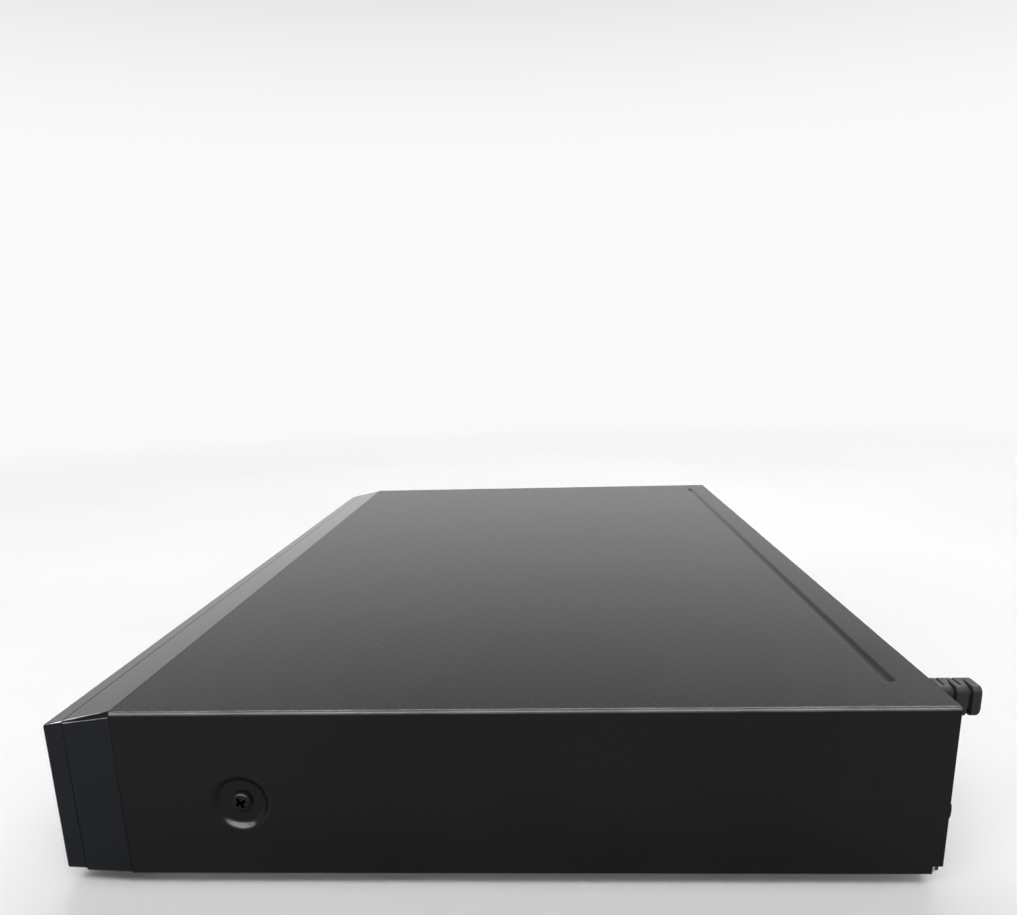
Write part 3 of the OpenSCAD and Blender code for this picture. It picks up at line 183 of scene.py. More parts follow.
def add_box(bm, low, high):
    """A box between two corners; returns its vertices"""
    low, high = Vector(low), Vector(high)
    verts = bmesh.ops.create_cube(bm, size=1.0)["verts"]
    bmesh.ops.scale(bm, vec=high - low, verts=verts)
    bmesh.ops.translate(bm, vec=(low + high) / 2, verts=verts)
    return verts


def edges_of(verts, test=None):
    """Edges that join the given vertices and pass a test on their two ends"""
    inside = set(verts)
    found = dict.fromkeys(e for v in verts for e in v.link_edges if set(e.verts) <= inside)
    return [e for e in found if test is None or test(*e.verts)]


def faces_of(verts):
    """Faces that touch the given vertices"""
    return list(dict.fromkeys(f for v in verts for f in v.link_faces))


def verts_in(geom):
    """The vertices among what an operator made"""
    return [g for g in geom if isinstance(g, bmesh.types.BMVert)]


def middle_of(low, high):
    """The middle between two corners"""
    return [(a + b) / 2 for a, b in zip(low, high)]


def soften(bm, edges, offset, segments=3, clamp=True):
    """Rounds edges"""
    bmesh.ops.bevel(bm, geom=list(edges), offset=offset, offset_type="OFFSET", segments=segments,
                    profile=0.5, affect="EDGES", material=-1, clamp_overlap=clamp)


def cut_lines(bm, faces_test, axis, places):
    """Cuts lines across the faces that pass a test, square to an axis"""
    for place in places:
        faces = [f for f in bm.faces if faces_test(f)]
        geom = list(dict.fromkeys(v for f in faces for v in f.verts))
        geom += list(dict.fromkeys(e for f in faces for e in f.edges)) + faces
        at = Vector((0, 0, 0))
        at[axis] = place
        normal = Vector((0, 0, 0))
        normal[axis] = 1
        bmesh.ops.bisect_plane(bm, geom=geom, dist=CUT, plane_co=at, plane_no=normal)


def faces_within(bm, faces_test, low, high):
    """Faces that pass a test and have their middle between two corners"""
    found = []
    for f in bm.faces:
        if faces_test(f):
            c = f.calc_center_median()
            if all(low[i] - FINE <= c[i] <= high[i] + FINE for i in range(3)):
                found.append(f)
    return found


def faces_towards(axis, sign, place, slab=(-1.0, 1.0)):
    """A test for faces that look along an axis, at a place on it, within a range of X"""
    def test(f):
        if f.normal[axis] * sign < FACING:
            return False
        c = f.calc_center_median()
        return abs(c[axis] - place) < NEAR and slab[0] < c.x < slab[1]
    return test


def faces_looking(bm, sign):
    """Faces that look to the front (-1) or to the rear (1)"""
    return [f for f in bm.faces if f.normal.y * sign > FACING]


def rim_of(faces):
    """Outer edges of a set of faces"""
    inside = set(faces)
    return [e for f in faces for e in f.edges if len([g for g in e.link_faces if g in inside]) == 1]


def ring(bm, centre, radius, axis, count=48):
    """An open circle square to an axis; returns its edges"""
    turn = {X: Matrix.Rotation(math.pi / 2, 4, "Y"), Y: Matrix.Rotation(math.pi / 2, 4, "X"),
            Z: Matrix.Identity(4)}[axis]
    verts = bmesh.ops.create_circle(bm, cap_ends=False, radius=radius, segments=count,
                                    matrix=Matrix.Translation(centre) @ turn)["verts"]
    return edges_of(verts)


def step_in(bm, edges, centre, move, grow):
    """Draws a closed ring of edges on by one step: moved, and scaled about a centre"""
    made = bmesh.ops.extrude_edge_only(bm, edges=edges)["geom"]
    verts = verts_in(made)
    bmesh.ops.scale(bm, vec=(grow, grow, grow), verts=verts, space=Matrix.Translation(-Vector(centre)))
    bmesh.ops.translate(bm, vec=move, verts=verts)
    return edges_of(verts)


def open_cell(bm, sign, y, low, high, slab):
    """Cuts a four-sided hole in one face of a wall that lies square to Y; returns its rim"""
    test = faces_towards(Y, sign, y, slab)
    cut_lines(bm, test, X, (low[0], high[0]))
    cut_lines(bm, test, Z, (low[1], high[1]))
    gone = faces_within(bm, test, (low[0], y, low[1]), (high[0], y, high[1]))
    rim = rim_of(gone)
    bmesh.ops.delete(bm, geom=gone, context="FACES")
    return rim


def square_opening(bm, low, high, y_front, y_back, slab):
    """A four-sided opening through a wall that lies square to Y"""
    rims = open_cell(bm, -1, y_front, low, high, slab) + open_cell(bm, 1, y_back, low, high, slab)
    bmesh.ops.bridge_loops(bm, edges=rims)


def round_opening(bm, x, z, radius, y_front, y_back, slab):
    """A round opening through a wall that lies square to Y"""
    margin = 1.3
    cell = radius * margin
    low, high = (x - cell, z - cell), (x + cell, z + cell)
    edges = ring(bm, (x, y_front, z), radius, Y)
    bmesh.ops.bridge_loops(bm, edges=open_cell(bm, -1, y_front, low, high, slab) + edges)
    edges = step_in(bm, edges, (x, y_front, z), (0, y_back - y_front, 0), 1.0)
    bmesh.ops.bridge_loops(bm, edges=open_cell(bm, 1, y_back, low, high, slab) + edges)


def open_wall(bm, holes, y_front, y_back):
    """Cuts a row of openings through a wall; a hole is (x0, x1, z0, z1), round where z1 is None"""
    holes = sorted(holes)
    walls = [(a[1] + b[0]) / 2 for a, b in zip(holes, holes[1:])]
    for sign, y in ((-1, y_front), (1, y_back)):
        cut_lines(bm, faces_towards(Y, sign, y), X, walls)
    edges = [-1.0] + walls + [1.0]
    for (x0, x1, z0, z1), slab in zip(holes, zip(edges, edges[1:])):
        if z1 is None:
            round_opening(bm, (x0 + x1) / 2, z0, (x1 - x0) / 2, y_front, y_back, slab)
        else:
            square_opening(bm, (x0, z0), (x1, z1), y_front, y_back, slab)


def lathe(bm, points, centre, axis, steps=48):
    """Turns a line of (radius, height) points about an axis through a centre"""
    side = Y if axis == X else X
    verts = []
    for radius, height in points:
        co = Vector(centre)
        co[side] += radius
        co[axis] += height
        verts.append(bm.verts.new(co))
    edges = [bm.edges.new(pair) for pair in zip(verts, verts[1:])]
    turn = Vector((0, 0, 0))
    turn[axis] = 1
    bmesh.ops.spin(bm, geom=verts + edges, cent=centre, axis=turn, dvec=(0, 0, 0), angle=2 * math.pi,
                   steps=steps, use_merge=True, use_duplicate=False)


def finish_piece(bm, name, slot, nodes=(), body=CASE, finishes=()):
    """Closes a mesh, shades it, and hangs it on its body in place of its CAD nodes"""
    bmesh.ops.remove_doubles(bm, verts=bm.verts, dist=FINE)
    bmesh.ops.dissolve_degenerate(bm, dist=FINE / 10, edges=bm.edges)
    bmesh.ops.recalc_face_normals(bm, faces=bm.faces)
    for f in bm.faces:
        f.smooth = True
    for e in bm.edges:
        e.smooth = len(e.link_faces) == 2 and e.calc_face_angle(0) < SHARP
    mesh = bpy.data.meshes.new(name)
    bm.to_mesh(mesh)
    bm.free()
    for kind in finishes or (slot,):
        mesh.materials.append(finish(kind))
    piece = bpy.data.objects.new(name, mesh)
    bpy.context.scene.collection.objects.link(piece)
    weighted = piece.modifiers.new("Even shading", "WEIGHTED_NORMAL")
    weighted.keep_sharp = True
    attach(piece, body)
    if nodes:
        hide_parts(*nodes)
    return piece


# Finishes

EVEN = (1, 1, 1)
BRUSHED_X = (0.04, 1, 1)
PLASTIC_IOR = 1.5
DUST_CELLS = 90.0
DUST_SIZE = 0.02
FINISHES = {}


def scaled(colour, factor):
    """A paler or a darker shade of a colour"""
    return tuple(min(1.0, c * factor) for c in colour[:3]) + (1.0,)


def wire(tree, kind, inputs, output, **settings):
    """Adds a node, fills its inputs with values or links, and returns one of its outputs"""
    node = tree.nodes.new(kind)
    for name, value in settings.items():
        setattr(node, name, value)
    for name, value in inputs.items():
        if isinstance(value, bpy.types.NodeSocket):
            tree.links.new(value, node.inputs[name])
        else:
            node.inputs[name].default_value = value
    return node.outputs[output]


def calculate(tree, operation, first, second, **settings):
    """One step of arithmetic on two values"""
    return wire(tree, "ShaderNodeMath", {0: first, 1: second}, "Value", operation=operation, **settings)


def part_of(tree, vector, axis):
    """One of the three parts of a vector"""
    return wire(tree, "ShaderNodeSeparateXYZ", {"Vector": vector}, axis)


def spread(tree, value, low, high, start=0.3, end=0.7, **settings):
    """Maps a range of a value, by default the middle of a pattern, to two values"""
    ends = {"Value": value, "From Min": start, "From Max": end, "To Min": low, "To Max": high}
    return wire(tree, "ShaderNodeMapRange", ends, "Result", **settings)


def object_coords(tree):
    """The object coordinates that a finish already reads"""
    return tree.nodes["Texture Coordinate"].outputs["Object"]


def noise_at(tree, coords, scale, detail=3.0, stretch=EVEN):
    """A noise pattern on object coordinates; the scale counts spots to the metre"""
    placed = wire(tree, "ShaderNodeMapping", {"Vector": coords, "Scale": stretch}, "Vector")
    return wire(tree, "ShaderNodeTexNoise", {"Vector": placed, "Scale": scale, "Detail": detail}, "Fac")


def ramp(tree, value, dark, light, low=0.35, high=0.65):
    """Colours a pattern between two shades"""
    colours = wire(tree, "ShaderNodeValToRGB", {"Fac": value}, "Color")
    stops = colours.node.color_ramp.elements
    for i, place, shade in ((0, low, dark), (1, high, light)):
        stops[i].position = place
        stops[i].color = shade
    return colours


def surface(name, colour, roughness, grain_scale, grain=0.1, grain_size=0.05 * MM, metallic=0.0,
            specular=0.5, contrast=0.2, broad_scale=18.0, stretch=EVEN, vary=0.12):
    """A finish with broad colour variation and a fine grain in roughness and relief"""
    material = bpy.data.materials.new(name)
    material.use_nodes = True
    tree = material.node_tree
    shader = tree.nodes["Principled BSDF"].inputs
    shader["Metallic"].default_value = metallic
    shader["Specular IOR Level"].default_value = specular
    shader["IOR"].default_value = PLASTIC_IOR
    coords = wire(tree, "ShaderNodeTexCoord", {}, "Object")
    broad = noise_at(tree, coords, broad_scale, 4.0)
    fine = noise_at(tree, coords, grain_scale, 2.0, stretch)
    shades = ramp(tree, broad, scaled(colour, 1 - contrast), scaled(colour, 1 + contrast))
    rough = spread(tree, fine, roughness * (1 - vary), min(1.0, roughness * (1 + vary)))
    relief = wire(tree, "ShaderNodeBump", {"Strength": grain, "Distance": grain_size, "Height": fine},
                  "Normal")
    for socket, source in (("Base Color", shades), ("Roughness", rough), ("Normal", relief)):
        tree.links.new(source, shader[socket])
    return material


def lay_over(material, factor, colour):
    """Lays a second colour over a finish, as far as a pattern says"""
    tree = material.node_tree
    base = tree.nodes["Principled BSDF"].inputs["Base Color"]
    under = base.links[0].from_socket
    over = wire(tree, "ShaderNodeMix", {"Factor": factor, "A": under, "B": tuple(colour) + (1.0,)}, "Result",
                data_type="RGBA")
    tree.links.new(over, base)
    return material


def paint_fold_highlight(material, colour):
    """Lays a painted highlight along the two long folds of the cover: the paint paler in patches"""
    tree = material.node_tree
    coords = object_coords(tree)
    outward = wire(tree, "ShaderNodeVectorMath", {0: coords}, "Vector", operation="ABSOLUTE")
    normal = wire(tree, "ShaderNodeNewGeometry", {}, "Normal")
    patches = 60.0
    # Painted highlight mask: noise patches, kept to the fold bands below
    highlight_mask = spread(tree, noise_at(tree, coords, patches), 0.5, 1.0)
    # Each band has what it reads, an axis, where it starts and where it is full
    bands = ((outward, "X", HALF_W - 1.6 * MM, HALF_W - 1.35 * MM),
             (outward, "Z", COVER_HIGH.z - 1.8 * MM, COVER_HIGH.z - 1.2 * MM),
             (normal, "Z", 0.1, 0.35),
             (normal, "Z", 0.995, 0.9))
    for vector, axis, start, full in bands:
        band = spread(tree, part_of(tree, vector, axis), 0.0, 1.0, start, full)
        highlight_mask = calculate(tree, "MULTIPLY", highlight_mask, band)
    return lay_over(material, highlight_mask, colour)


def add_dust(material, colour):
    """Strews a few fine dust specks over the upward faces of a finish"""
    tree = material.node_tree
    cells = wire(tree, "ShaderNodeTexVoronoi", {"Vector": object_coords(tree), "Scale": DUST_CELLS},
                 "Distance")
    speck = calculate(tree, "LESS_THAN", cells, DUST_SIZE)
    upward = part_of(tree, wire(tree, "ShaderNodeNewGeometry", {}, "True Normal"), "Z")
    return lay_over(material, calculate(tree, "MULTIPLY", speck, upward, use_clamp=True), colour)


def finish(name):
    """One of the finishes, made when it is first asked for"""
    if name not in FINISHES:
        FINISHES[name] = make_finish(name)
    return FINISHES[name]


def make_finish(name):
    """A finish of the modelled pieces, or else that of a CAD slot"""
    tones = bpy.context.scene.player_finish
    if name in PIECE_FINISHES:
        values = dict(PIECE_FINISHES[name])
        return surface(name, getattr(tones, values.pop("tone")), **values)
    if name == "satin_black_steel":
        paint_coat = surface(name, tones.cover, tones.satin, grain_scale=2600.0, grain=tones.grain,
                             grain_size=0.08 * MM, contrast=0.16, specular=0.12)
        # The cover's paint with a painted highlight along its folds, then dust specks
        return add_dust(paint_fold_highlight(paint_coat, tones.fold_highlight), tones.dust)
    if name == "gloss_black":
        panel = surface(name, tones.gloss, roughness=0.05, grain_scale=55.0, grain=0.01,
                        grain_size=0.02 * MM, contrast=0.25, vary=0.5, specular=0.13)
        return add_dust(panel, tones.dust)
    colour, rough, scale, grain, metallic, stretch = SLOT_FINISHES[name]
    return surface(name, colour, rough, scale, grain, metallic=metallic, specular=0.2, stretch=stretch,
                   contrast=0.06 if metallic else 0.2)


PIECE_FINISHES = {
    "screw_black": dict(tone="cover", roughness=0.4, grain_scale=2000.0, specular=0.12),
    "gland_plastic": dict(tone="gland", roughness=0.62, grain_scale=1500.0, grain=0.25, grain_size=0.08 * MM,
                          specular=0.13),
    "key_symbol": dict(tone="symbol", roughness=0.55, grain_scale=3000.0),
    "left_ring": dict(tone="left_ring", roughness=0.4, grain_scale=2000.0, grain=0.08),
    "right_ring": dict(tone="right_ring", roughness=0.4, grain_scale=2000.0, grain=0.08),
    "contact_gold": dict(tone="gold", roughness=0.28, grain_scale=2500.0, grain=0.05, metallic=1.0),
}

# Of each CAD slot: colour, roughness, grain spots to the metre, grain strength, metal share, grain stretch
SLOT_FINISHES = {
    "zinc_steel": ((0.45, 0.46, 0.47), 0.34, 900.0, 0.12, 1.0, BRUSHED_X),
    "black_steel": ((0.02, 0.021, 0.022), 0.46, 2400.0, 0.16, 0.0, EVEN),
    "smoked_window": ((0.012, 0.014, 0.018), 0.07, 60.0, 0.01, 0.0, EVEN),
    "rubber": ((0.02, 0.02, 0.021), 0.8, 1400.0, 0.3, 0.0, EVEN),
    "screw_steel": ((0.3, 0.3, 0.3), 0.32, 1800.0, 0.12, 1.0, EVEN),
    "board_green": ((0.03, 0.13, 0.07), 0.42, 700.0, 0.12, 0.0, EVEN),
    "board_tan": ((0.3, 0.19, 0.08), 0.55, 700.0, 0.15, 0.0, EVEN),
    "chip_black": ((0.015, 0.015, 0.016), 0.6, 2500.0, 0.15, 0.0, EVEN),
    "aluminium": ((0.6, 0.61, 0.62), 0.38, 900.0, 0.12, 1.0, BRUSHED_X),
    "socket_metal": ((0.55, 0.56, 0.57), 0.3, 1100.0, 0.08, 1.0, BRUSHED_X),
    "socket_black": ((0.02, 0.02, 0.021), 0.5, 2000.0, 0.12, 0.0, EVEN),
    "winding_yellow": ((0.6, 0.42, 0.08), 0.42, 800.0, 0.18, 0.0, EVEN),
    "capacitor_blue": ((0.02, 0.03, 0.1), 0.25, 900.0, 0.05, 0.0, EVEN),
    "display_glass": ((0.05, 0.07, 0.08), 0.12, 300.0, 0.03, 0.0, EVEN),
    "loader_black": ((0.025, 0.026, 0.028), 0.52, 1800.0, 0.18, 0.0, EVEN),
    "tray_black": ((0.015, 0.016, 0.017), 0.48, 2200.0, 0.16, 0.0, EVEN),
    "gear_white": ((0.75, 0.72, 0.62), 0.45, 1500.0, 0.1, 0.0, EVEN),
    "belt_rubber": ((0.01, 0.01, 0.01), 0.75, 1500.0, 0.25, 0.0, EVEN),
    "cable_grey": ((0.6, 0.6, 0.55), 0.45, 1200.0, 0.12, 0.0, BRUSHED_X),
    "cast_grey": ((0.42, 0.43, 0.44), 0.5, 900.0, 0.3, 0.9, EVEN),
    "polished_steel": ((0.7, 0.71, 0.72), 0.12, 900.0, 0.04, 1.0, EVEN),
    "dark_plastic": ((0.03, 0.032, 0.035), 0.48, 2000.0, 0.16, 0.0, EVEN),
    "lens": ((0.35, 0.55, 0.65), 0.04, 400.0, 0.01, 0.0, EVEN),
}


# Cover

NOTCH_DEEP, NOTCH_HIGH = 2.8 * MM, 2.4 * MM
LUG_Z, LUG_HALF, LUG_OUT = 25 * MM, 2.4 * MM, 0.4 * MM
TAB_BEND = 0.25 * MM
BEAD_CUTS = 5
BEAD_END_CUTS = (0, 0.4, 0.7, 0.9, 1)
DIMPLE_STEPS = 12
LUG_CUTS = 4


def press_bead(bm, size, top_z, rear_y):
    """Presses the long bead into the top of the cover"""
    middle = rear_y - size.bead_in
    half = size.bead_width / 2
    end = HALF_W - size.bead_end - half
    steps = [i / BEAD_CUTS for i in range(-BEAD_CUTS, BEAD_CUTS + 1)]
    top = faces_towards(Z, 1, top_z)
    cut_lines(bm, top, Y, [middle + half * s for s in steps])
    cut_lines(bm, top, X, [s * (end + half * k) for s in (-1, 1) for k in BEAD_END_CUTS])
    for v in bm.verts:
        if abs(v.co.z - top_z) < FINE:
            over = max(0.0, abs(v.co.x) - end)
            away = math.hypot(over, v.co.y - middle) / half
            if away < 1:
                v.co.z -= size.bead_deep * (1 + math.cos(math.pi * away)) / 2


def press_dimple(bm, size, side, y, z):
    """Presses the round dimple for a side screw into one side of the cover"""
    x = side * HALF_W
    margin = 1.25
    cell = size.dimple * margin
    test = faces_towards(X, side, x)
    cut_lines(bm, test, Y, (y - cell, y + cell))
    cut_lines(bm, test, Z, (z - cell, z + cell))
    gone = faces_within(bm, test, (x, y - cell, z - cell), (x, y + cell, z + cell))
    outer = rim_of(gone)
    bmesh.ops.delete(bm, geom=gone, context="FACES_ONLY")
    edges = ring(bm, (x, y, z), size.dimple, X, count=64)
    bmesh.ops.bridge_loops(bm, edges=outer + edges)
    radius, deep = size.dimple, 0.0
    rounds = [(size.dimple + (size.dimple_floor - size.dimple) * i / DIMPLE_STEPS,
               size.dimple_deep * (1 - math.cos(math.pi * i / DIMPLE_STEPS)) / 2)
              for i in range(1, DIMPLE_STEPS + 1)]
    for new_radius, new_deep in rounds + [(SCREW_HOLE, size.dimple_deep)]:
        centre = (x - side * deep, y, z)
        edges = step_in(bm, edges, centre, (-side * (new_deep - deep), 0, 0), new_radius / radius)
        radius, deep = new_radius, new_deep


def fold_tabs(bm, size, top_z, rear_y, places):
    """Folds the rear screw tabs down from the top's rear edge"""
    half = size.tab_width / 2
    top = faces_towards(Z, 1, top_z)
    cut_lines(bm, top, X, [x + s * half for x in places for s in (-1, 1)])
    edges = [e for e in bm.edges if all(abs(v.co.y - rear_y) < FINE and abs(v.co.z - top_z) < FINE
                                        for v in e.verts)
             and any(abs((e.verts[0].co.x + e.verts[1].co.x) / 2 - x) < half for x in places)]
    folds = list(edges)
    made = bmesh.ops.extrude_edge_only(bm, edges=edges)["geom"]
    verts = verts_in(made)
    bmesh.ops.translate(bm, vec=(0, 0, -size.tab_height), verts=verts)
    soften(bm, folds, TAB_BEND, 2)


def shape_rear_edge(bm, rear_y):
    """Cuts the lower rear notch of each side and draws out the small lug above it"""
    for side in (-1, 1):
        test = faces_towards(X, side, side * HALF_W)
        lines = [LUG_Z + LUG_HALF * k / LUG_CUTS for k in range(-LUG_CUTS, LUG_CUTS + 1)]
        cut_lines(bm, test, Y, (rear_y - NOTCH_DEEP,))
        cut_lines(bm, test, Z, [COVER_LOW.z + NOTCH_HIGH] + lines)
        gone = faces_within(bm, test, (side * HALF_W, rear_y - NOTCH_DEEP, COVER_LOW.z),
                            (side * HALF_W, rear_y, COVER_LOW.z + NOTCH_HIGH))
        bmesh.ops.delete(bm, geom=gone, context="FACES")
    for v in bm.verts:
        if abs(v.co.y - rear_y) < FINE and abs(abs(v.co.x) - HALF_W) < FINE:
            away = abs(v.co.z - LUG_Z) / LUG_HALF
            if away < 1:
                v.co.y += LUG_OUT * math.sqrt(1 - away * away)


class PLAYER_OT_cover(bpy.types.Operator):
    """Folds the steel top cover with its bead, dimples, tabs and notches"""
    bl_idname = "player.cover"
    bl_label = "Top cover"

    def execute(self, context):
        size = context.scene.player_cover
        rear_y = SEAM_Y + size.depth
        low_z, top_z = COVER_LOW.z, COVER_HIGH.z
        _, screw_y, screw_z = middle_of(*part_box("side_screws"))
        tab_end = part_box("rear_screws")[1].x - HEAD_RADIUS
        bm = bmesh.new()
        corners = ((-HALF_W, low_z), (-HALF_W, top_z), (HALF_W, top_z), (HALF_W, low_z))
        line = [bm.verts.new((x, SEAM_Y, z)) for x, z in corners]
        edges = [bm.edges.new(pair) for pair in zip(line, line[1:])]
        made = bmesh.ops.extrude_edge_only(bm, edges=edges)["geom"]
        bmesh.ops.translate(bm, vec=(0, size.depth, 0), verts=verts_in(made))
        bmesh.ops.recalc_face_normals(bm, faces=bm.faces)
        if next(f for f in bm.faces if abs(f.normal.z) > FACING).normal.z < 0:
            bmesh.ops.reverse_faces(bm, faces=bm.faces)
        press_bead(bm, size, top_z, rear_y)
        for side in (-1, 1):
            press_dimple(bm, size, side, screw_y, screw_z)
        shape_rear_edge(bm, rear_y)
        fold_tabs(bm, size, top_z, rear_y, (-tab_end, 0.0, tab_end))
        folds = [e for e in bm.edges if all(abs(v.co.z - top_z) < FINE and abs(abs(v.co.x) - HALF_W) < FINE
                                            for v in e.verts)]
        soften(bm, folds, size.fold, 8)
        bmesh.ops.remove_doubles(bm, verts=bm.verts, dist=FINE)
        bmesh.ops.solidify(bm, geom=bm.faces[:], thickness=size.sheet)
        bm.normal_update()
        rim = [e for e in bm.edges if len(e.link_faces) == 2 and e.calc_face_angle(0) > SQUARE]
        soften(bm, rim, size.rim, 2, clamp=False)
        finish_piece(bm, "cover_folded", "satin_black_steel", ["top_cover"])
        return {"FINISHED"}


# Front panel

def top_at(size, y):
    """Height of the front panel's top strip at a place along its depth"""
    return COVER_HIGH.z - size.drop * (SEAM_Y - y) / FRONT_DEEP


def half_at(size, y):
    """Half width of the front panel at a place along its depth"""
    return HALF_W - size.taper * (SEAM_Y - y) / FRONT_DEEP


def tapered_block(bm, size, y_front, y_back, low_z):
    """A box that follows the panel's slopes"""
    for v in add_box(bm, (-HALF_W, y_front, low_z), (HALF_W, y_back, COVER_HIGH.z)):
        v.co.x = math.copysign(half_at(size, v.co.y), v.co.x)
        if v.co.z > low_z + FINE:
            v.co.z = top_at(size, v.co.y)


def hollow_block(bm, size, y_back, floor_y, wall):
    """Hollows a tapered block from behind, along its slopes"""
    bm.normal_update()
    back = faces_looking(bm, 1)
    bmesh.ops.inset_region(bm, faces=back, thickness=wall, use_even_offset=True)
    made = bmesh.ops.extrude_face_region(bm, geom=back)["geom"]
    bmesh.ops.delete(bm, geom=back, context="FACES")
    run = (y_back - floor_y) / FRONT_DEEP
    for v in verts_in(made):
        v.co.x -= math.copysign(size.taper * run, v.co.x)
        if v.co.z > MIDDLE_Z:
            v.co.z -= size.drop * run
        v.co.y = floor_y
    bm.normal_update()


def corner_edges(bm, size, upper):
    """The upper or the lower long corner edges of a tapered block"""
    return [e for e in bm.edges if abs(e.verts[0].co.y - e.verts[1].co.y) > MM
            and all(abs(abs(v.co.x) - half_at(size, v.co.y)) < FINE and (v.co.z > MIDDLE_Z) == upper
                    for v in e.verts)]


def cut_facets(bm, size):
    """Cuts the facets along the frame's upper corners, wider at the seam than at the joint"""
    before = set(bm.verts)
    soften(bm, corner_edges(bm, size, True), size.facet_seam, 1)
    made = [v for v in bm.verts if v not in before]
    for v in made:
        facet = size.facet_joint if abs(v.co.y - JOINT_Y) < FINE else size.facet_seam
        half, top = half_at(size, v.co.y), top_at(size, v.co.y)
        if top - v.co.z < half - abs(v.co.x):
            v.co.x = math.copysign(half - facet, v.co.x)
            v.co.z = top
        else:
            v.co.x = math.copysign(half, v.co.x)
            v.co.z = top - facet
    soften(bm, edges_of(made, lambda a, b: abs(a.co.y - b.co.y) > MM), size.crease, 3)


def draw_in(bm, y, inward, chamfer):
    """Chamfers the outline of a panel at one end of its depth; inward is the way into the panel"""
    bmesh.ops.bisect_plane(bm, geom=bm.verts[:] + bm.edges[:] + bm.faces[:], dist=CUT,
                           plane_co=(0, y + inward * chamfer, 0), plane_no=(0, 1, 0))
    verts = [v for v in bm.verts if abs(v.co.y - y) < FINE]
    half = max(v.co.x for v in verts)
    low, high = min(v.co.z for v in verts), max(v.co.z for v in verts)
    bmesh.ops.scale(bm, vec=(1 - chamfer / half, 1, 1 - 2 * chamfer / (high - low)), verts=verts,
                    space=Matrix.Translation((0, 0, -(low + high) / 2)))
    bm.normal_update()


def front_block(bm, low, high, corner, corner_steps, edge, edge_steps):
    """A block with rounded long corners and a softened front edge"""
    verts = add_box(bm, low, high)
    soften(bm, edges_of(verts, lambda a, b: abs(a.co.y - b.co.y) > MM), corner, corner_steps)
    bm.normal_update()
    soften(bm, rim_of(faces_looking(bm, -1)), edge, edge_steps)


def add_flange(bm, low, high):
    """A thin flange behind the fascia plate"""
    soften(bm, edges_of(add_box(bm, low, high)), FLANGE_BREAK, 2)


class PLAYER_OT_front_frame(bpy.types.Operator):
    """Builds the gloss front frame that wraps on to the top and the sides"""
    bl_idname = "player.front_frame"
    bl_label = "Front frame"

    def execute(self, context):
        size = context.scene.player_front
        bm = bmesh.new()
        wall_y = JOINT_Y + size.wall
        tapered_block(bm, size, JOINT_Y, SEAM_Y, FRAME_LOW.z)
        hollow_block(bm, size, SEAM_Y, wall_y, size.wall)
        soften(bm, corner_edges(bm, size, False), size.foot_corner, 6)
        cut_facets(bm, size)
        draw_in(bm, SEAM_Y, -1, size.seam)
        draw_in(bm, JOINT_Y, 1, size.joint)
        spare, overlap, stem_hole = 0.6 * MM, 0.4 * MM, 1.8 * MM
        holes = []
        for node, grow in (("disc_tray", spare), ("display_window", -overlap), ("usb_socket", spare)):
            low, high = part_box(node)
            holes.append((low.x - grow, high.x + grow, low.z - grow, high.z + grow))
        for node in ("open_button", "play_button", "stop_button", "power_button"):
            x, _, z = middle_of(*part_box(node))
            holes.append((x - stem_hole, x + stem_hole, z, None))
        open_wall(bm, holes, JOINT_Y, wall_y)
        finish_piece(bm, "front_frame_shell", "gloss_black", ["front_frame"])
        return {"FINISHED"}


class PLAYER_OT_fascia(bpy.types.Operator):
    """Builds the front fascia with its openings"""
    bl_idname = "player.fascia"
    bl_label = "Front fascia"

    def execute(self, context):
        size = context.scene.player_front
        bm = bmesh.new()
        plate_y = FRONT_Y + size.plate
        lip_break = 0.2 * MM
        tapered_block(bm, size, FRONT_Y, JOINT_Y, FASCIA_LOW.z)
        hollow_block(bm, size, JOINT_Y, plate_y, size.rim)
        soften(bm, corner_edges(bm, size, True) + corner_edges(bm, size, False), size.corner, 6)
        bm.normal_update()
        soften(bm, rim_of(faces_looking(bm, -1)), size.edge, 4)
        draw_in(bm, JOINT_Y, -1, size.joint)
        gap = size.gap
        holes = [(low.x - gap, high.x + gap, low.z - gap, high.z + gap) for low, high in control_faces()]
        low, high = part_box("power_button")
        holes.append((low.x + LIP - gap, high.x - LIP + gap, (low.z + high.z) / 2, None))
        open_wall(bm, holes, FRONT_Y, plate_y)
        bm.normal_update()
        lips = [e for e in bm.edges if len(e.link_faces) == 2
                and all(abs(v.co.y - FRONT_Y) < FINE for v in e.verts)
                and e.calc_face_angle(0) > SQUARE]
        soften(bm, lips, lip_break, 2)
        finish_piece(bm, "fascia_plate", "gloss_black", ["front_fascia"])
        return {"FINISHED"}


def control_faces():
    """Front faces of what sits in the fascia's four-sided openings"""
    lip, pin = Vector((LIP, 0, LIP)), Vector((FLAP_PIN, 0, 0))
    for node, hidden in (("tray_front", Vector((0, 0, 0))), ("display_window", lip), ("open_button", lip),
                         ("play_button", lip), ("stop_button", lip), ("usb_flap", pin)):
        low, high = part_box(node)
        yield low + hidden, high - hidden


class PLAYER_OT_tray_front(bpy.types.Operator):
    """Builds the cover on the front of the disc tray"""
    bl_idname = "player.tray_front"
    bl_label = "Tray front"

    def execute(self, context):
        size = context.scene.player_front
        corner, wall, hollow = 0.6 * MM, 1.8 * MM, 3 * MM
        bm = bmesh.new()
        front_block(bm, *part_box("tray_front"), corner, 3, size.softening, 4)
        bm.normal_update()
        back = faces_looking(bm, 1)
        bmesh.ops.inset_region(bm, faces=back, thickness=wall, use_even_offset=True)
        floor = list(dict.fromkeys(v for f in back for v in f.verts))
        bmesh.ops.translate(bm, vec=(0, -hollow, 0), verts=floor)
        finish_piece(bm, "tray_front_cover", "gloss_black", ["tray_front"], "tray")
        return {"FINISHED"}


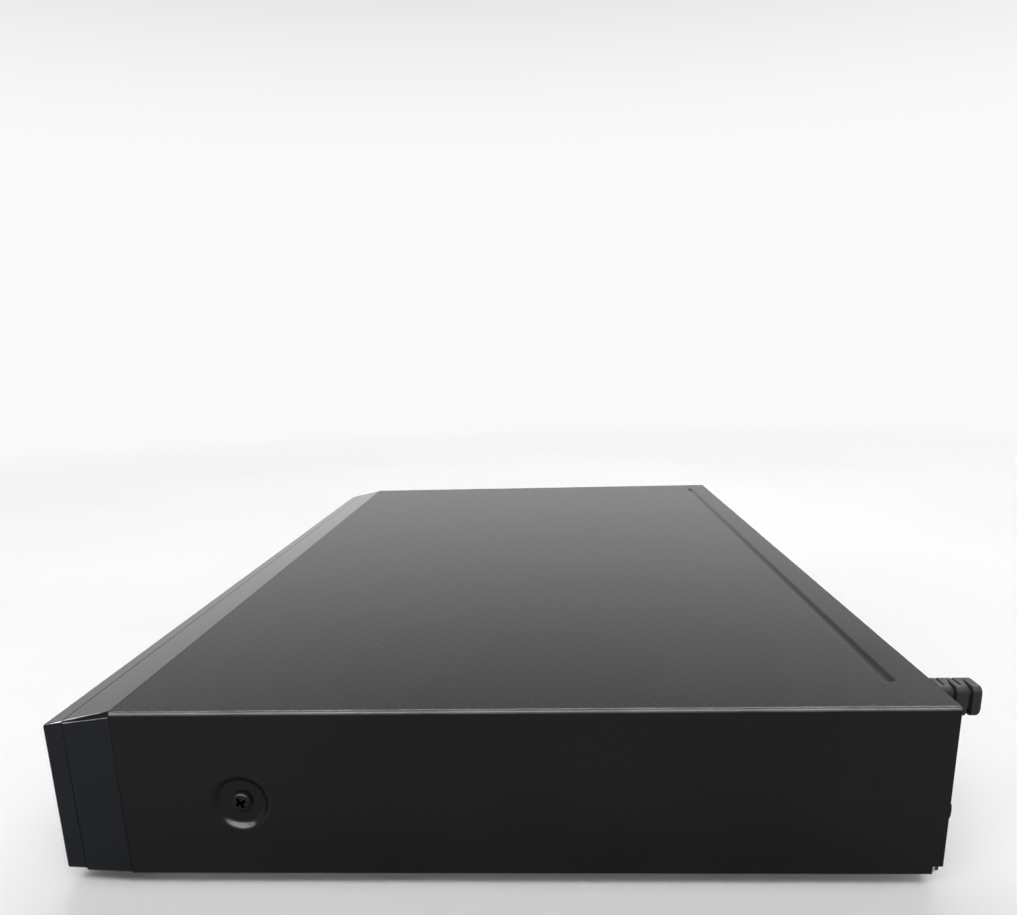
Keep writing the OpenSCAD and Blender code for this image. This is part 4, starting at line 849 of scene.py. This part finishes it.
class PLAYER_OT_window(bpy.types.Operator):
    """Builds the smoked display window with its flange"""
    bl_idname = "player.window"
    bl_label = "Display window"

    def execute(self, context):
        size = context.scene.player_front
        low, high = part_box("display_window")
        plate_y, corner = FRONT_Y + size.plate, 0.5 * MM
        bm = bmesh.new()
        front_block(bm, low + Vector((LIP, 0, LIP)), Vector((high.x - LIP, plate_y, high.z - LIP)),
                    corner, 3, size.softening, 3)
        add_flange(bm, (low.x, plate_y, low.z), high)
        finish_piece(bm, "window_smoked", "smoked_window", ["display_window"])
        return {"FINISHED"}


# Keys and flap

SYMBOL_HIGH = 0.05 * MM
STEM_RADIUS, STEM_TIP, STEM_BREAK = 1.5 * MM, 1.3 * MM, 0.2 * MM


def add_prism(bm, centre, radius, sides, turn, y_front, y_back):
    """A flat many-sided prism that faces the front, for the key symbols"""
    place = Matrix.Translation((centre[0], y_back, centre[1])) @ Matrix.Rotation(math.pi / 2, 4, "X")
    place = place @ Matrix.Rotation(turn, 4, "Z")
    made = bmesh.ops.create_circle(bm, cap_ends=True, radius=radius, segments=sides, matrix=place)["verts"]
    face = made[0].link_faces[0]
    drawn = bmesh.ops.extrude_face_region(bm, geom=[face])["geom"]
    verts = verts_in(drawn)
    bmesh.ops.translate(bm, vec=(0, y_front - y_back, 0), verts=verts)
    return faces_of(made + verts)


def add_plate(bm, low, high):
    """A small flat bar; returns its faces"""
    return faces_of(add_box(bm, low, high))


def draw_symbol(bm, name, x, z, face_y):
    """The symbol of a key: an arrow over a bar, an arrow, or a square"""
    front, back = face_y - SYMBOL_HIGH, face_y + SYMBOL_HIGH
    if name == "open_button":
        arrow, arrow_up, bar_half, bar_low, bar_top = 1.25 * MM, 0.35 * MM, 1.1 * MM, 1.2 * MM, 0.75 * MM
        faces = add_prism(bm, (x, z + arrow_up), arrow, 3, 0.0, front, back)
        faces += add_plate(bm, (x - bar_half, front, z - bar_low), (x + bar_half, back, z - bar_top))
    else:
        radius = 1.35 * MM
        sides, turn = (3, -math.pi / 2) if name == "play_button" else (4, math.pi / 4)
        faces = add_prism(bm, (x, z), radius, sides, turn, front, back)
    for f in faces:
        f.material_index = 1


class PLAYER_OT_keys(bpy.types.Operator):
    """Builds the three small keys and the round power key, with their stems"""
    bl_idname = "player.keys"
    bl_label = "Keys"

    def execute(self, context):
        size = context.scene.player_front
        for node in ("open_button", "play_button", "stop_button"):
            self.small_key(size, node)
        self.power_key(size)
        return {"FINISHED"}

    def flange(self, size):
        """Where the keys' flanges start and end behind the fascia plate"""
        start = FRONT_Y + size.plate + FLANGE_GAP
        return start, start + FLANGE

    def stem(self, bm, x, z, y_front, y_back):
        """The round stem that reaches to the key's switch"""
        lathe(bm, ((0, y_front), (STEM_RADIUS, y_front), (STEM_RADIUS, y_back - STEM_BREAK),
                   (STEM_TIP, y_back), (0, y_back)), (x, 0, z), Y, steps=24)

    def small_key(self, size, node):
        """A four-sided key with its symbol"""
        low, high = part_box(node)
        flange_y, flange_end = self.flange(size)
        x, _, z = middle_of(low, high)
        corner = 0.7 * MM
        bm = bmesh.new()
        front_block(bm, low + Vector((LIP, 0, LIP)), Vector((high.x - LIP, flange_y, high.z - LIP)),
                    corner, 4, size.softening, 4)
        add_flange(bm, (low.x, flange_y, low.z), (high.x, flange_end, high.z))
        self.stem(bm, x, z, flange_end, high.y)
        draw_symbol(bm, node, x, z, low.y)
        finish_piece(bm, node + "_cap", "gloss_black", [node], node, ("gloss_black", "key_symbol"))

    def power_key(self, size):
        """The round key, dished, with its broken ring and bar"""
        low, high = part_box("power_button")
        flange_y, flange_end = self.flange(size)
        x, _, z = middle_of(low, high)
        radius = (high.x - low.x) / 2 - LIP
        face_y = low.y
        bm = bmesh.new()
        # From the dished face over the rounded rim and the wall to the flange
        lathe(bm, ((0, face_y + 0.25 * MM), (radius * 0.35, face_y + 0.2 * MM),
                   (radius * 0.7, face_y + 0.06 * MM), (radius - 0.7 * MM, face_y),
                   (radius - 0.3 * MM, face_y + 0.1 * MM), (radius - 0.08 * MM, face_y + 0.32 * MM),
                   (radius, face_y + 0.7 * MM), (radius, flange_y), (radius + LIP, flange_y),
                   (radius + LIP, flange_end), (0, flange_end)), (x, 0, z), Y, steps=64)
        self.stem(bm, x, z, flange_end, high.y)
        mark_y, mark_radius = face_y + 0.16 * MM, 1.9 * MM
        line, thick, first_step = 0.4 * MM, 0.3 * MM, 0.02 * MM
        bar_low, bar_top = 0.6 * MM, 2.3 * MM
        start, sweep = math.radians(-55), math.radians(290)
        arc = bmesh.ops.create_cube(bm, size=1.0)["verts"]
        bmesh.ops.scale(bm, vec=(line, thick, first_step), verts=arc)
        bmesh.ops.translate(bm, vec=(x + mark_radius, mark_y, z), verts=arc)
        bmesh.ops.rotate(bm, cent=(x, 0, z), matrix=Matrix.Rotation(start, 3, "Y"), verts=arc)
        top = max(faces_of(arc),
                  key=lambda f: (f.calc_center_median() - Vector((x, mark_y, z))).cross(f.normal).y)
        bmesh.ops.spin(bm, geom=[top], cent=(x, 0, z), axis=(0, 1, 0), dvec=(0, 0, 0), angle=sweep, steps=28,
                       use_duplicate=False)
        bmesh.ops.delete(bm, geom=[top], context="FACES_ONLY")
        for f in bm.faces:
            c = f.calc_center_median()
            if abs(c.y - mark_y) < line / 2 and abs(math.hypot(c.x - x, c.z - z) - mark_radius) < thick:
                f.material_index = 1
        for f in add_plate(bm, (x - line / 2, mark_y - thick / 2, z + bar_low),
                           (x + line / 2, mark_y + thick / 2, z + bar_top)):
            f.material_index = 1
        finish_piece(bm, "power_button_cap", "gloss_black", ["power_button"], "power_button",
                     ("gloss_black", "key_symbol"))


class PLAYER_OT_flap(bpy.types.Operator):
    """Builds the small flap over the front socket with its hinge barrel and pins"""
    bl_idname = "player.flap"
    bl_label = "Socket flap"

    def execute(self, context):
        low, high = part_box("usb_flap")
        thick = high.y - low.y
        low_x, high_x = low.x + FLAP_PIN, high.x - FLAP_PIN
        edge, grip_half, grip_low, grip_top = 0.3 * MM, 4 * MM, 2.1 * MM, 1.2 * MM
        grip_wall, grip_deep = 0.25 * MM, 0.4 * MM
        pin, pin_tip, barrel = 0.7 * MM, 0.55 * MM, 0.49
        bm = bmesh.new()
        verts = add_box(bm, low + Vector((FLAP_PIN, 0, 0)), high - Vector((FLAP_PIN, 0, 0)))
        lower = edges_of(verts, lambda a, b: abs(a.co.x - b.co.x) > MM and a.co.z < low.z + FINE)
        soften(bm, lower, thick * barrel, 8)
        bm.normal_update()
        top = [e for e in bm.edges if all(abs(v.co.z - high.z) < FINE for v in e.verts)]
        soften(bm, top, edge, 3)
        bm.normal_update()
        grip = (low_x + high_x) / 2
        test = faces_towards(Y, -1, low.y)
        cut_lines(bm, test, X, (grip - grip_half, grip + grip_half))
        cut_lines(bm, test, Z, (high.z - grip_low, high.z - grip_top))
        hollow = faces_within(bm, test, (grip - grip_half, low.y, high.z - grip_low),
                              (grip + grip_half, low.y, high.z - grip_top))
        bmesh.ops.inset_region(bm, faces=hollow, thickness=grip_wall, depth=-grip_deep, use_even_offset=True)
        axis_y, axis_z = (low.y + high.y) / 2, low.z + thick / 2
        for end, inner in ((low.x, low_x), (high.x, high_x)):
            shoulder = end + (inner - end) * 0.15
            lathe(bm, ((0, inner), (pin, inner), (pin, shoulder), (pin_tip, end), (0, end)),
                  (0, axis_y, axis_z), X, steps=20)
        finish_piece(bm, "usb_flap_cover", "gloss_black", ["usb_flap"], "usb_flap")
        return {"FINISHED"}


# Screws, gland, feet and rear sockets

SHANK_RADIUS, SHANK_LONG = 1.45 * MM, 2.8 * MM
HEAD_CROWN = ((2.93, 1.05), (2.72, 1.35), (2.42, 1.58), (2.1, 1.7))
CROSS_ARM, CROSS_HALF, CROSS_DEEP = 1.6 * MM, 0.36 * MM, 0.55 * MM
CROSS_TAPER = 0.6


def add_screw(bm, place):
    """A pan head screw with a cross recess, its seat at the origin of a placing matrix"""
    before = set(bm.verts)
    head_wall, outer = 0.75 * MM, 0.9
    profile = [(0, -SHANK_LONG), (SHANK_RADIUS, -SHANK_LONG), (SHANK_RADIUS, 0), (HEAD_RADIUS, 0),
               (HEAD_RADIUS, head_wall)] + [(radius * MM, height * MM) for radius, height in HEAD_CROWN]
    lathe(bm, profile, (0, 0, 0), Z)
    verts = [v for v in bm.verts if v not in before]
    bmesh.ops.remove_doubles(bm, verts=verts, dist=FINE)
    verts = [v for v in bm.verts if v not in before]
    rim = [e for e in edges_of(verts) if len(e.link_faces) == 1]
    grid = bmesh.ops.create_grid(bm, x_segments=3, y_segments=3, size=1.0)["verts"]
    for v in grid:
        for axis in (X, Y):
            reach = CROSS_ARM if abs(v.co[axis]) > outer else CROSS_HALF
            v.co[axis] = math.copysign(reach, v.co[axis])
        v.co.z = HEAD_HIGH
    faces = faces_of(grid)
    middles = {f: f.calc_center_median() for f in faces}
    corners = [f for f in faces if min(abs(middles[f].x), abs(middles[f].y)) > CROSS_HALF]
    bmesh.ops.delete(bm, geom=corners, context="FACES")
    cross = [f for f in faces if f.is_valid]
    bmesh.ops.bridge_loops(bm, edges=rim + rim_of(cross))
    sunk = bmesh.ops.extrude_face_region(bm, geom=cross)["geom"]
    bmesh.ops.delete(bm, geom=cross, context="FACES")
    floor = verts_in(sunk)
    bmesh.ops.scale(bm, vec=(CROSS_TAPER, CROSS_TAPER, 1), verts=floor)
    bmesh.ops.translate(bm, vec=(0, 0, -CROSS_DEEP), verts=floor)
    bmesh.ops.transform(bm, matrix=place, verts=[v for v in bm.verts if v not in before])


class PLAYER_OT_screws(bpy.types.Operator):
    """Builds the side screws in their dimples and the rear screws on their tabs"""
    bl_idname = "player.screws"
    bl_label = "Cover screws"

    def execute(self, context):
        low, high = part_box("side_screws")
        _, y, z = middle_of(low, high)
        seat, side_turn = high.x - HEAD_HIGH, 33
        self.drive("side", [((side * seat, y, z), side * math.pi / 2, "Y", side_turn) for side in (-1, 1)])
        low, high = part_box("rear_screws")
        seat, z = high.y - HEAD_HIGH, (low.z + high.z) / 2
        self.drive("rear", [((x, seat, z), -math.pi / 2, "X", turn) for x, turn in
                            ((low.x + HEAD_RADIUS, 20), (0.0, 52), (high.x - HEAD_RADIUS, 5))])
        return {"FINISHED"}

    def drive(self, where, screws):
        """The screws of one place as one piece, each given by its seat, its lie and its cross's turn"""
        bm = bmesh.new()
        for seat, lie, axis, turn in screws:
            add_screw(bm, Matrix.Translation(seat) @ Matrix.Rotation(lie, 4, axis)
                      @ Matrix.Rotation(math.radians(turn), 4, "Z"))
        finish_piece(bm, where + "_screw_heads", "black_steel", [where + "_screws"],
                     finishes=("screw_black",))


class PLAYER_OT_gland(bpy.types.Operator):
    """Builds the ribbed cord gland with its cord hole"""
    bl_idname = "player.gland"
    bl_label = "Cord gland"

    def execute(self, context):
        low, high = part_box("cord_gland")
        x, _, z = middle_of(low, high)
        bore, corner, mouth_break = 3.2 * MM, 2 * MM, 0.4 * MM
        bm = bmesh.new()
        verts = bmesh.ops.create_grid(bm, x_segments=1, y_segments=1, size=0.5)["verts"]
        bmesh.ops.scale(bm, vec=(high.x - low.x, high.z - low.z, 1), verts=verts)
        bmesh.ops.bevel(bm, geom=verts, offset=corner, offset_type="OFFSET", segments=6, profile=0.5,
                        affect="VERTICES", material=-1, clamp_overlap=True)
        bmesh.ops.delete(bm, geom=bm.faces[:], context="FACES_ONLY")
        bmesh.ops.rotate(bm, cent=(0, 0, 0), matrix=Matrix.Rotation(math.pi / 2, 3, "X"), verts=bm.verts[:])
        bmesh.ops.translate(bm, vec=(x, low.y, z), verts=bm.verts[:])
        first = edges = bm.edges[:]
        here, right_in, left_in = low.y, 0.0, 0.0
        for y, right, left in self.rings(high.y):
            made = bmesh.ops.extrude_edge_only(bm, edges=edges)["geom"]
            verts = verts_in(made)
            for v in verts:
                deeper = right - right_in if v.co.x > x else left - left_in
                v.co.x += deeper if v.co.x < x else -deeper
                v.co.z += deeper if v.co.z < z else -deeper
                v.co.y += y - here
            edges = edges_of(verts)
            here, right_in, left_in = y, right, left
        mouth = ring(bm, (x, here, z), bore + mouth_break, Y, count=40)
        bmesh.ops.bridge_loops(bm, edges=edges + mouth)
        tunnel = step_in(bm, mouth, (x, here, z), (0, -mouth_break, 0), bore / (bore + mouth_break))
        tunnel = step_in(bm, tunnel, (x, here - mouth_break, z), (0, low.y - here + mouth_break, 0), 1.0)
        bmesh.ops.bridge_loops(bm, edges=first + tunnel)
        finish_piece(bm, "cord_gland_ribs", "gland_plastic", ["cord_gland"])
        return {"FINISHED"}

    def rings(self, y_end):
        """Places along the gland with the depth that its right and its left side are set in there"""
        soft, end_soft, slot, deep = 0.35 * MM, 1.2 * MM, 1.1 * MM, 1.3 * MM
        groove_soft, groove_deep, first_rib, closer = 0.2 * MM, 1 * MM, 1.1 * MM, 0.2 * MM
        left_slot, left_back = 0.6 * MM, 0.4 * MM
        slots, end_steps = 3, 6
        yield from self.slot_rings(PANEL_IN, PANEL_OUT, groove_soft, groove_deep, True, True)
        pitch = (y_end - PANEL_OUT - slot) / slots
        for i in range(slots):
            at = PANEL_OUT + slot + first_rib + i * (pitch - closer)
            yield from self.slot_rings(at, at + slot, soft, deep, True, False)
            if i < slots - 1:
                middle = at + slot + (pitch - slot) / 2 - left_back
                yield from self.slot_rings(middle, middle + left_slot, groove_soft, deep, False, True)
        for i in range(end_steps + 1):
            turn = math.radians(90 / end_steps * i)
            drawn = end_soft * (1 - math.cos(turn))
            yield y_end - end_soft * (1 - math.sin(turn)), drawn, drawn

    def slot_rings(self, start, end, soft, deep, right, left):
        """One slot with softened lips, in the right side, the left side or both"""
        near = soft * 0.3
        lip = ((start - soft, 0.0), (start - near, near), (start, soft), (start, deep),
               (end, deep), (end, soft), (end + near, near), (end + soft, 0.0))
        for y, inset in lip:
            yield y, inset * right, inset * left


class PLAYER_OT_feet(bpy.types.Operator):
    """Turns the four rubber feet"""
    bl_idname = "player.feet"
    bl_label = "Feet"

    def execute(self, context):
        low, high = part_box("rubber_feet")
        radius = 9 * MM
        base = COVER_LOW.z
        bm = bmesh.new()
        for x in (low.x + radius, high.x - radius):
            for y in (low.y + radius, high.y - radius):
                # From the hollow sole over the tread and the wall to the peg in the base pan
                lathe(bm, ((0, 0.5 * MM), (4.2 * MM, 0.5 * MM), (4.9 * MM, 0.35 * MM), (5.3 * MM, 0),
                           (7.4 * MM, 0), (8.0 * MM, 0.12 * MM), (8.5 * MM, 0.45 * MM),
                           (8.8 * MM, 0.95 * MM), (8.9 * MM, 1.6 * MM), (9 * MM, base - 0.3 * MM),
                           (8.8 * MM, base), (2.9 * MM, base), (2.9 * MM, high.z - 0.3 * MM),
                           (2.5 * MM, high.z), (0, high.z)), (x, y, 0), Z)
        finish_piece(bm, "feet_rubber", "rubber", ["rubber_feet"])
        return {"FINISHED"}


class PLAYER_OT_rear_sockets(bpy.types.Operator):
    """Builds the audio jacks and the contacts of the network socket"""
    bl_idname = "player.rear_sockets"
    bl_label = "Rear sockets"

    def execute(self, context):
        self.audio_jacks()
        self.network_contacts()
        return {"FINISHED"}

    def audio_jacks(self):
        """Two black blocks with plated barrels and coloured rings"""
        low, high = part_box("audio_jacks")
        block, block_edge = 12 * MM, 0.4 * MM
        ring_inner, ring_outer, ring_deep = 1.55 * MM, 3.28 * MM, 0.6 * MM
        barrel_y, bore_y, end = PANEL_IN + 1.8 * MM, PANEL_IN + 0.5 * MM, high.y
        z = low.z + block / 2
        bm = bmesh.new()
        for x, tone in ((low.x + block / 2, 2), (high.x - block / 2, 3)):
            cube = add_box(bm, (x - block / 2, low.y, low.z), (x + block / 2, PANEL_IN, high.z))
            soften(bm, edges_of(cube), block_edge, 2)
            before = set(bm.faces)
            # From the collar over the barrel and the ring into the bore
            lathe(bm, ((0, PANEL_IN), (4.2 * MM, PANEL_IN), (4.2 * MM, PANEL_IN + 1.75 * MM),
                       (4.1 * MM, PANEL_IN + 1.85 * MM), (4.1 * MM, end - 0.5 * MM),
                       (4 * MM, end - 0.2 * MM), (3.8 * MM, end), (3.35 * MM, end),
                       (3.3 * MM, end - 0.1 * MM), (3.3 * MM, end - 0.35 * MM), (1.85 * MM, end - 0.35 * MM),
                       (1.65 * MM, end - 0.55 * MM), (1.65 * MM, bore_y), (0, bore_y)), (x, 0, z), Y)
            for f in bm.faces:
                if f not in before:
                    c = f.calc_center_median()
                    away = math.hypot(c.x - x, c.z - z)
                    if ring_inner < away < ring_outer and c.y > end - ring_deep:
                        f.material_index = tone
                    elif c.y > barrel_y:
                        f.material_index = 1
        finish_piece(bm, "audio_jack_barrels", "socket_black", ["audio_jacks"],
                     finishes=("socket_black", "socket_metal", "left_ring", "right_ring"))

    def network_contacts(self):
        """Eight sprung contacts in a row, lifted at their inner ends"""
        low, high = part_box("lan_socket")
        x = (low.x + high.x) / 2
        count, pitch, half, edge = 8, 1.02 * MM, 0.22 * MM, 0.08 * MM
        inner, outer, bend = high.y - 9 * MM, high.y - 2.2 * MM, high.y - 5 * MM
        under, over, lift = low.z + 2.3 * MM, low.z + 2.6 * MM, 2.6 * MM
        bm = bmesh.new()
        for i in range(count):
            at = x + (i - (count - 1) / 2) * pitch
            verts = add_box(bm, (at - half, inner, under), (at + half, outer, over))
            bmesh.ops.translate(bm, vec=(0, 0, lift), verts=[v for v in verts if v.co.y < bend])
            soften(bm, edges_of(verts), edge, 2)
        finish_piece(bm, "network_contacts", "socket_metal", finishes=("contact_gold",))


# Stage

FLOOR_RADIUS = 20.0
FLOOR_DROP = 0.05 * MM
FLOOR_FADE = (0.4, 1.6)
SKY_BAND = (0.18, 0.6)
SIDE_LAMPS = (("near", (1.3, -0.1, 1.55)), ("far", (-1.0, 0.2, 1.75)))
FRONT_LAMP = (0.2, -1.6, 1.35)
SOFT_SIZE = (2.4, 0.6)
EDGE_SIZE = (2.6, 0.08)
FRONT_SIZE = (2.2, 0.08)


class PLAYER_OT_stage(bpy.types.Operator):
    """Sets the floor, the light and the camera"""
    bl_idname = "player.stage"
    bl_label = "Stage"

    def execute(self, context):
        settings = context.scene.player_stage
        lay_floor(settings)
        light_room(settings)
        set_camera(context, settings)
        context.scene.view_settings.view_transform = "Standard"
        return {"FINISHED"}


def lay_floor(settings):
    """A wide pale floor under the feet, which turns into the white background far out"""
    bm = bmesh.new()
    bmesh.ops.create_circle(bm, cap_ends=True, radius=FLOOR_RADIUS, segments=64)
    bmesh.ops.translate(bm, vec=(0, 0, -FLOOR_DROP), verts=bm.verts)
    mesh = bpy.data.meshes.new("floor")
    bm.to_mesh(mesh)
    bm.free()
    material = surface("pale_floor", (settings.floor,) * 3, roughness=0.9, grain_scale=900.0, grain=0.02,
                       specular=0.1, contrast=0.02, broad_scale=3.0, vary=0.02)
    fade_to_white(material, *FLOOR_FADE, settings.low_sky)
    mesh.materials.append(material)
    floor = bpy.data.objects.new("floor", mesh)
    bpy.context.scene.collection.objects.link(floor)


def fade_to_white(material, start, end, level):
    """Lets a floor glow like the background between two distances, for what is seen or mirrored"""
    tree = material.node_tree
    away = wire(tree, "ShaderNodeVectorMath", {0: object_coords(tree)}, "Value", operation="LENGTH")
    far = spread(tree, away, 0.0, 1.0, start, end, interpolation_type="SMOOTHSTEP")
    path = tree.nodes.new("ShaderNodeLightPath").outputs
    seen = path["Is Camera Ray"]
    for kind in ("Is Glossy Ray", "Is Transmission Ray"):
        seen = calculate(tree, "MAXIMUM", seen, path[kind])
    lit = tree.nodes["Principled BSDF"].outputs["BSDF"]
    glow = wire(tree, "ShaderNodeEmission", {"Strength": level}, "Emission")
    factor = calculate(tree, "MULTIPLY", seen, far)
    both = wire(tree, "ShaderNodeMixShader", {"Fac": factor, 1: lit, 2: glow}, "Shader")
    tree.links.new(both, tree.nodes["Material Output"].inputs["Surface"])


def light_room(settings):
    """Even light from all sides, lower overhead, two broad soft lamps and three thin ones that only glint"""
    world = bpy.data.worlds.new("Studio")
    world.use_nodes = True
    tree = world.node_tree
    height = part_of(tree, wire(tree, "ShaderNodeTexCoord", {}, "Generated"), "Z")
    level = spread(tree, height, settings.low_sky, settings.high_sky, *SKY_BAND,
                   interpolation_type="SMOOTHSTEP")
    sky = tree.nodes["Background"].inputs
    sky["Color"].default_value = (1, 1, 1, 1)
    tree.links.new(level, sky["Strength"])
    bpy.context.scene.world = world
    for side, place in SIDE_LAMPS:
        aim = (-place[0], 0, -place[2])
        hang_lamp("soft_" + side, place, aim, SOFT_SIZE, settings.soft_watts)
        hang_lamp("edge_" + side, place, aim, EDGE_SIZE, settings.edge_watts).visible_diffuse = False
    aim = (0, -FRONT_LAMP[1], -FRONT_LAMP[2])
    hang_lamp("edge_front", FRONT_LAMP, aim, FRONT_SIZE, settings.front_watts).visible_diffuse = False


def hang_lamp(name, place, aim, size, watts):
    """A long level lamp that faces the player"""
    lamp = bpy.data.lights.new(name, "AREA")
    lamp.shape = "RECTANGLE"
    lamp.size, lamp.size_y = size
    lamp.energy = watts
    holder = bpy.data.objects.new(name, lamp)
    holder.location = place
    holder.rotation_euler = Vector(aim).to_track_quat("-Z", "Y").to_euler()
    bpy.context.scene.collection.objects.link(holder)
    return holder


def set_camera(context, settings):
    """The camera at the photograph's viewing angle"""
    data = bpy.data.cameras.new("camera")
    data.sensor_width = 36.0
    data.lens = settings.lens
    data.shift_y = settings.shift
    data.clip_start = 0.01
    camera = bpy.data.objects.new("camera", data)
    yaw, pitch, roll = settings.turn
    ahead = Vector((-math.cos(yaw) * math.cos(pitch), -math.sin(yaw) * math.cos(pitch), -math.sin(pitch)))
    right = ahead.cross(Vector((0, 0, 1))).normalized()
    up = right.cross(ahead)
    c, s = math.cos(roll), math.sin(roll)
    right, up = right * c + up * s, up * c - right * s
    camera.matrix_world = Matrix((
        (right.x, up.x, -ahead.x, settings.camera[0]),
        (right.y, up.y, -ahead.y, settings.camera[1]),
        (right.z, up.z, -ahead.z, settings.camera[2]),
        (0, 0, 0, 1)))
    context.scene.collection.objects.link(camera)
    context.scene.camera = camera


class PLAYER_OT_inner_finishes(bpy.types.Operator):
    """Gives every CAD node that stays its procedural finish"""
    bl_idname = "player.inner_finishes"
    bl_label = "Inner finishes"

    def execute(self, context):
        slots = {part["node"]: part["material_slot"] for part in frame["record"]["subparts"]}
        for node, obj in frame["nodes"].items():
            for holder in obj.material_slots:
                holder.material = finish(slots[node])
        return {"FINISHED"}


class PLAYER_PT_panel(bpy.types.Panel):
    """Lists the pieces of the player"""
    bl_idname = "PLAYER_PT_panel"
    bl_label = "Disc player"
    bl_space_type = "VIEW_3D"
    bl_region_type = "UI"
    bl_category = "Disc player"

    def draw(self, context):
        for operator in OPERATORS:
            self.layout.operator(operator.bl_idname)
        for group in GROUPS:
            box = self.layout.box()
            holder = getattr(context.scene, group)
            for name in holder.bl_rna.properties.keys():
                if name not in ("rna_type", "name"):
                    box.prop(holder, name)


GROUPS = {
    "player_cover": PLAYER_PG_cover,
    "player_front": PLAYER_PG_front,
    "player_finish": PLAYER_PG_finish,
    "player_stage": PLAYER_PG_stage,
}
OPERATORS = (
    PLAYER_OT_stage,
    PLAYER_OT_inner_finishes,
    PLAYER_OT_cover,
    PLAYER_OT_front_frame,
    PLAYER_OT_fascia,
    PLAYER_OT_tray_front,
    PLAYER_OT_window,
    PLAYER_OT_keys,
    PLAYER_OT_flap,
    PLAYER_OT_screws,
    PLAYER_OT_gland,
    PLAYER_OT_feet,
    PLAYER_OT_rear_sockets,
)


def register():
    for cls in tuple(GROUPS.values()) + OPERATORS + (PLAYER_PT_panel,):
        bpy.utils.register_class(cls)
    for name, group in GROUPS.items():
        setattr(bpy.types.Scene, name, bpy.props.PointerProperty(type=group))


def unregister():
    for name in GROUPS:
        delattr(bpy.types.Scene, name)
    for cls in reversed(tuple(GROUPS.values()) + OPERATORS + (PLAYER_PT_panel,)):
        bpy.utils.unregister_class(cls)


def main():
    register()
    for operator in OPERATORS:
        group, name = operator.bl_idname.split(".")
        getattr(getattr(bpy.ops, group), name)()


if __name__ == "__main__":
    main()
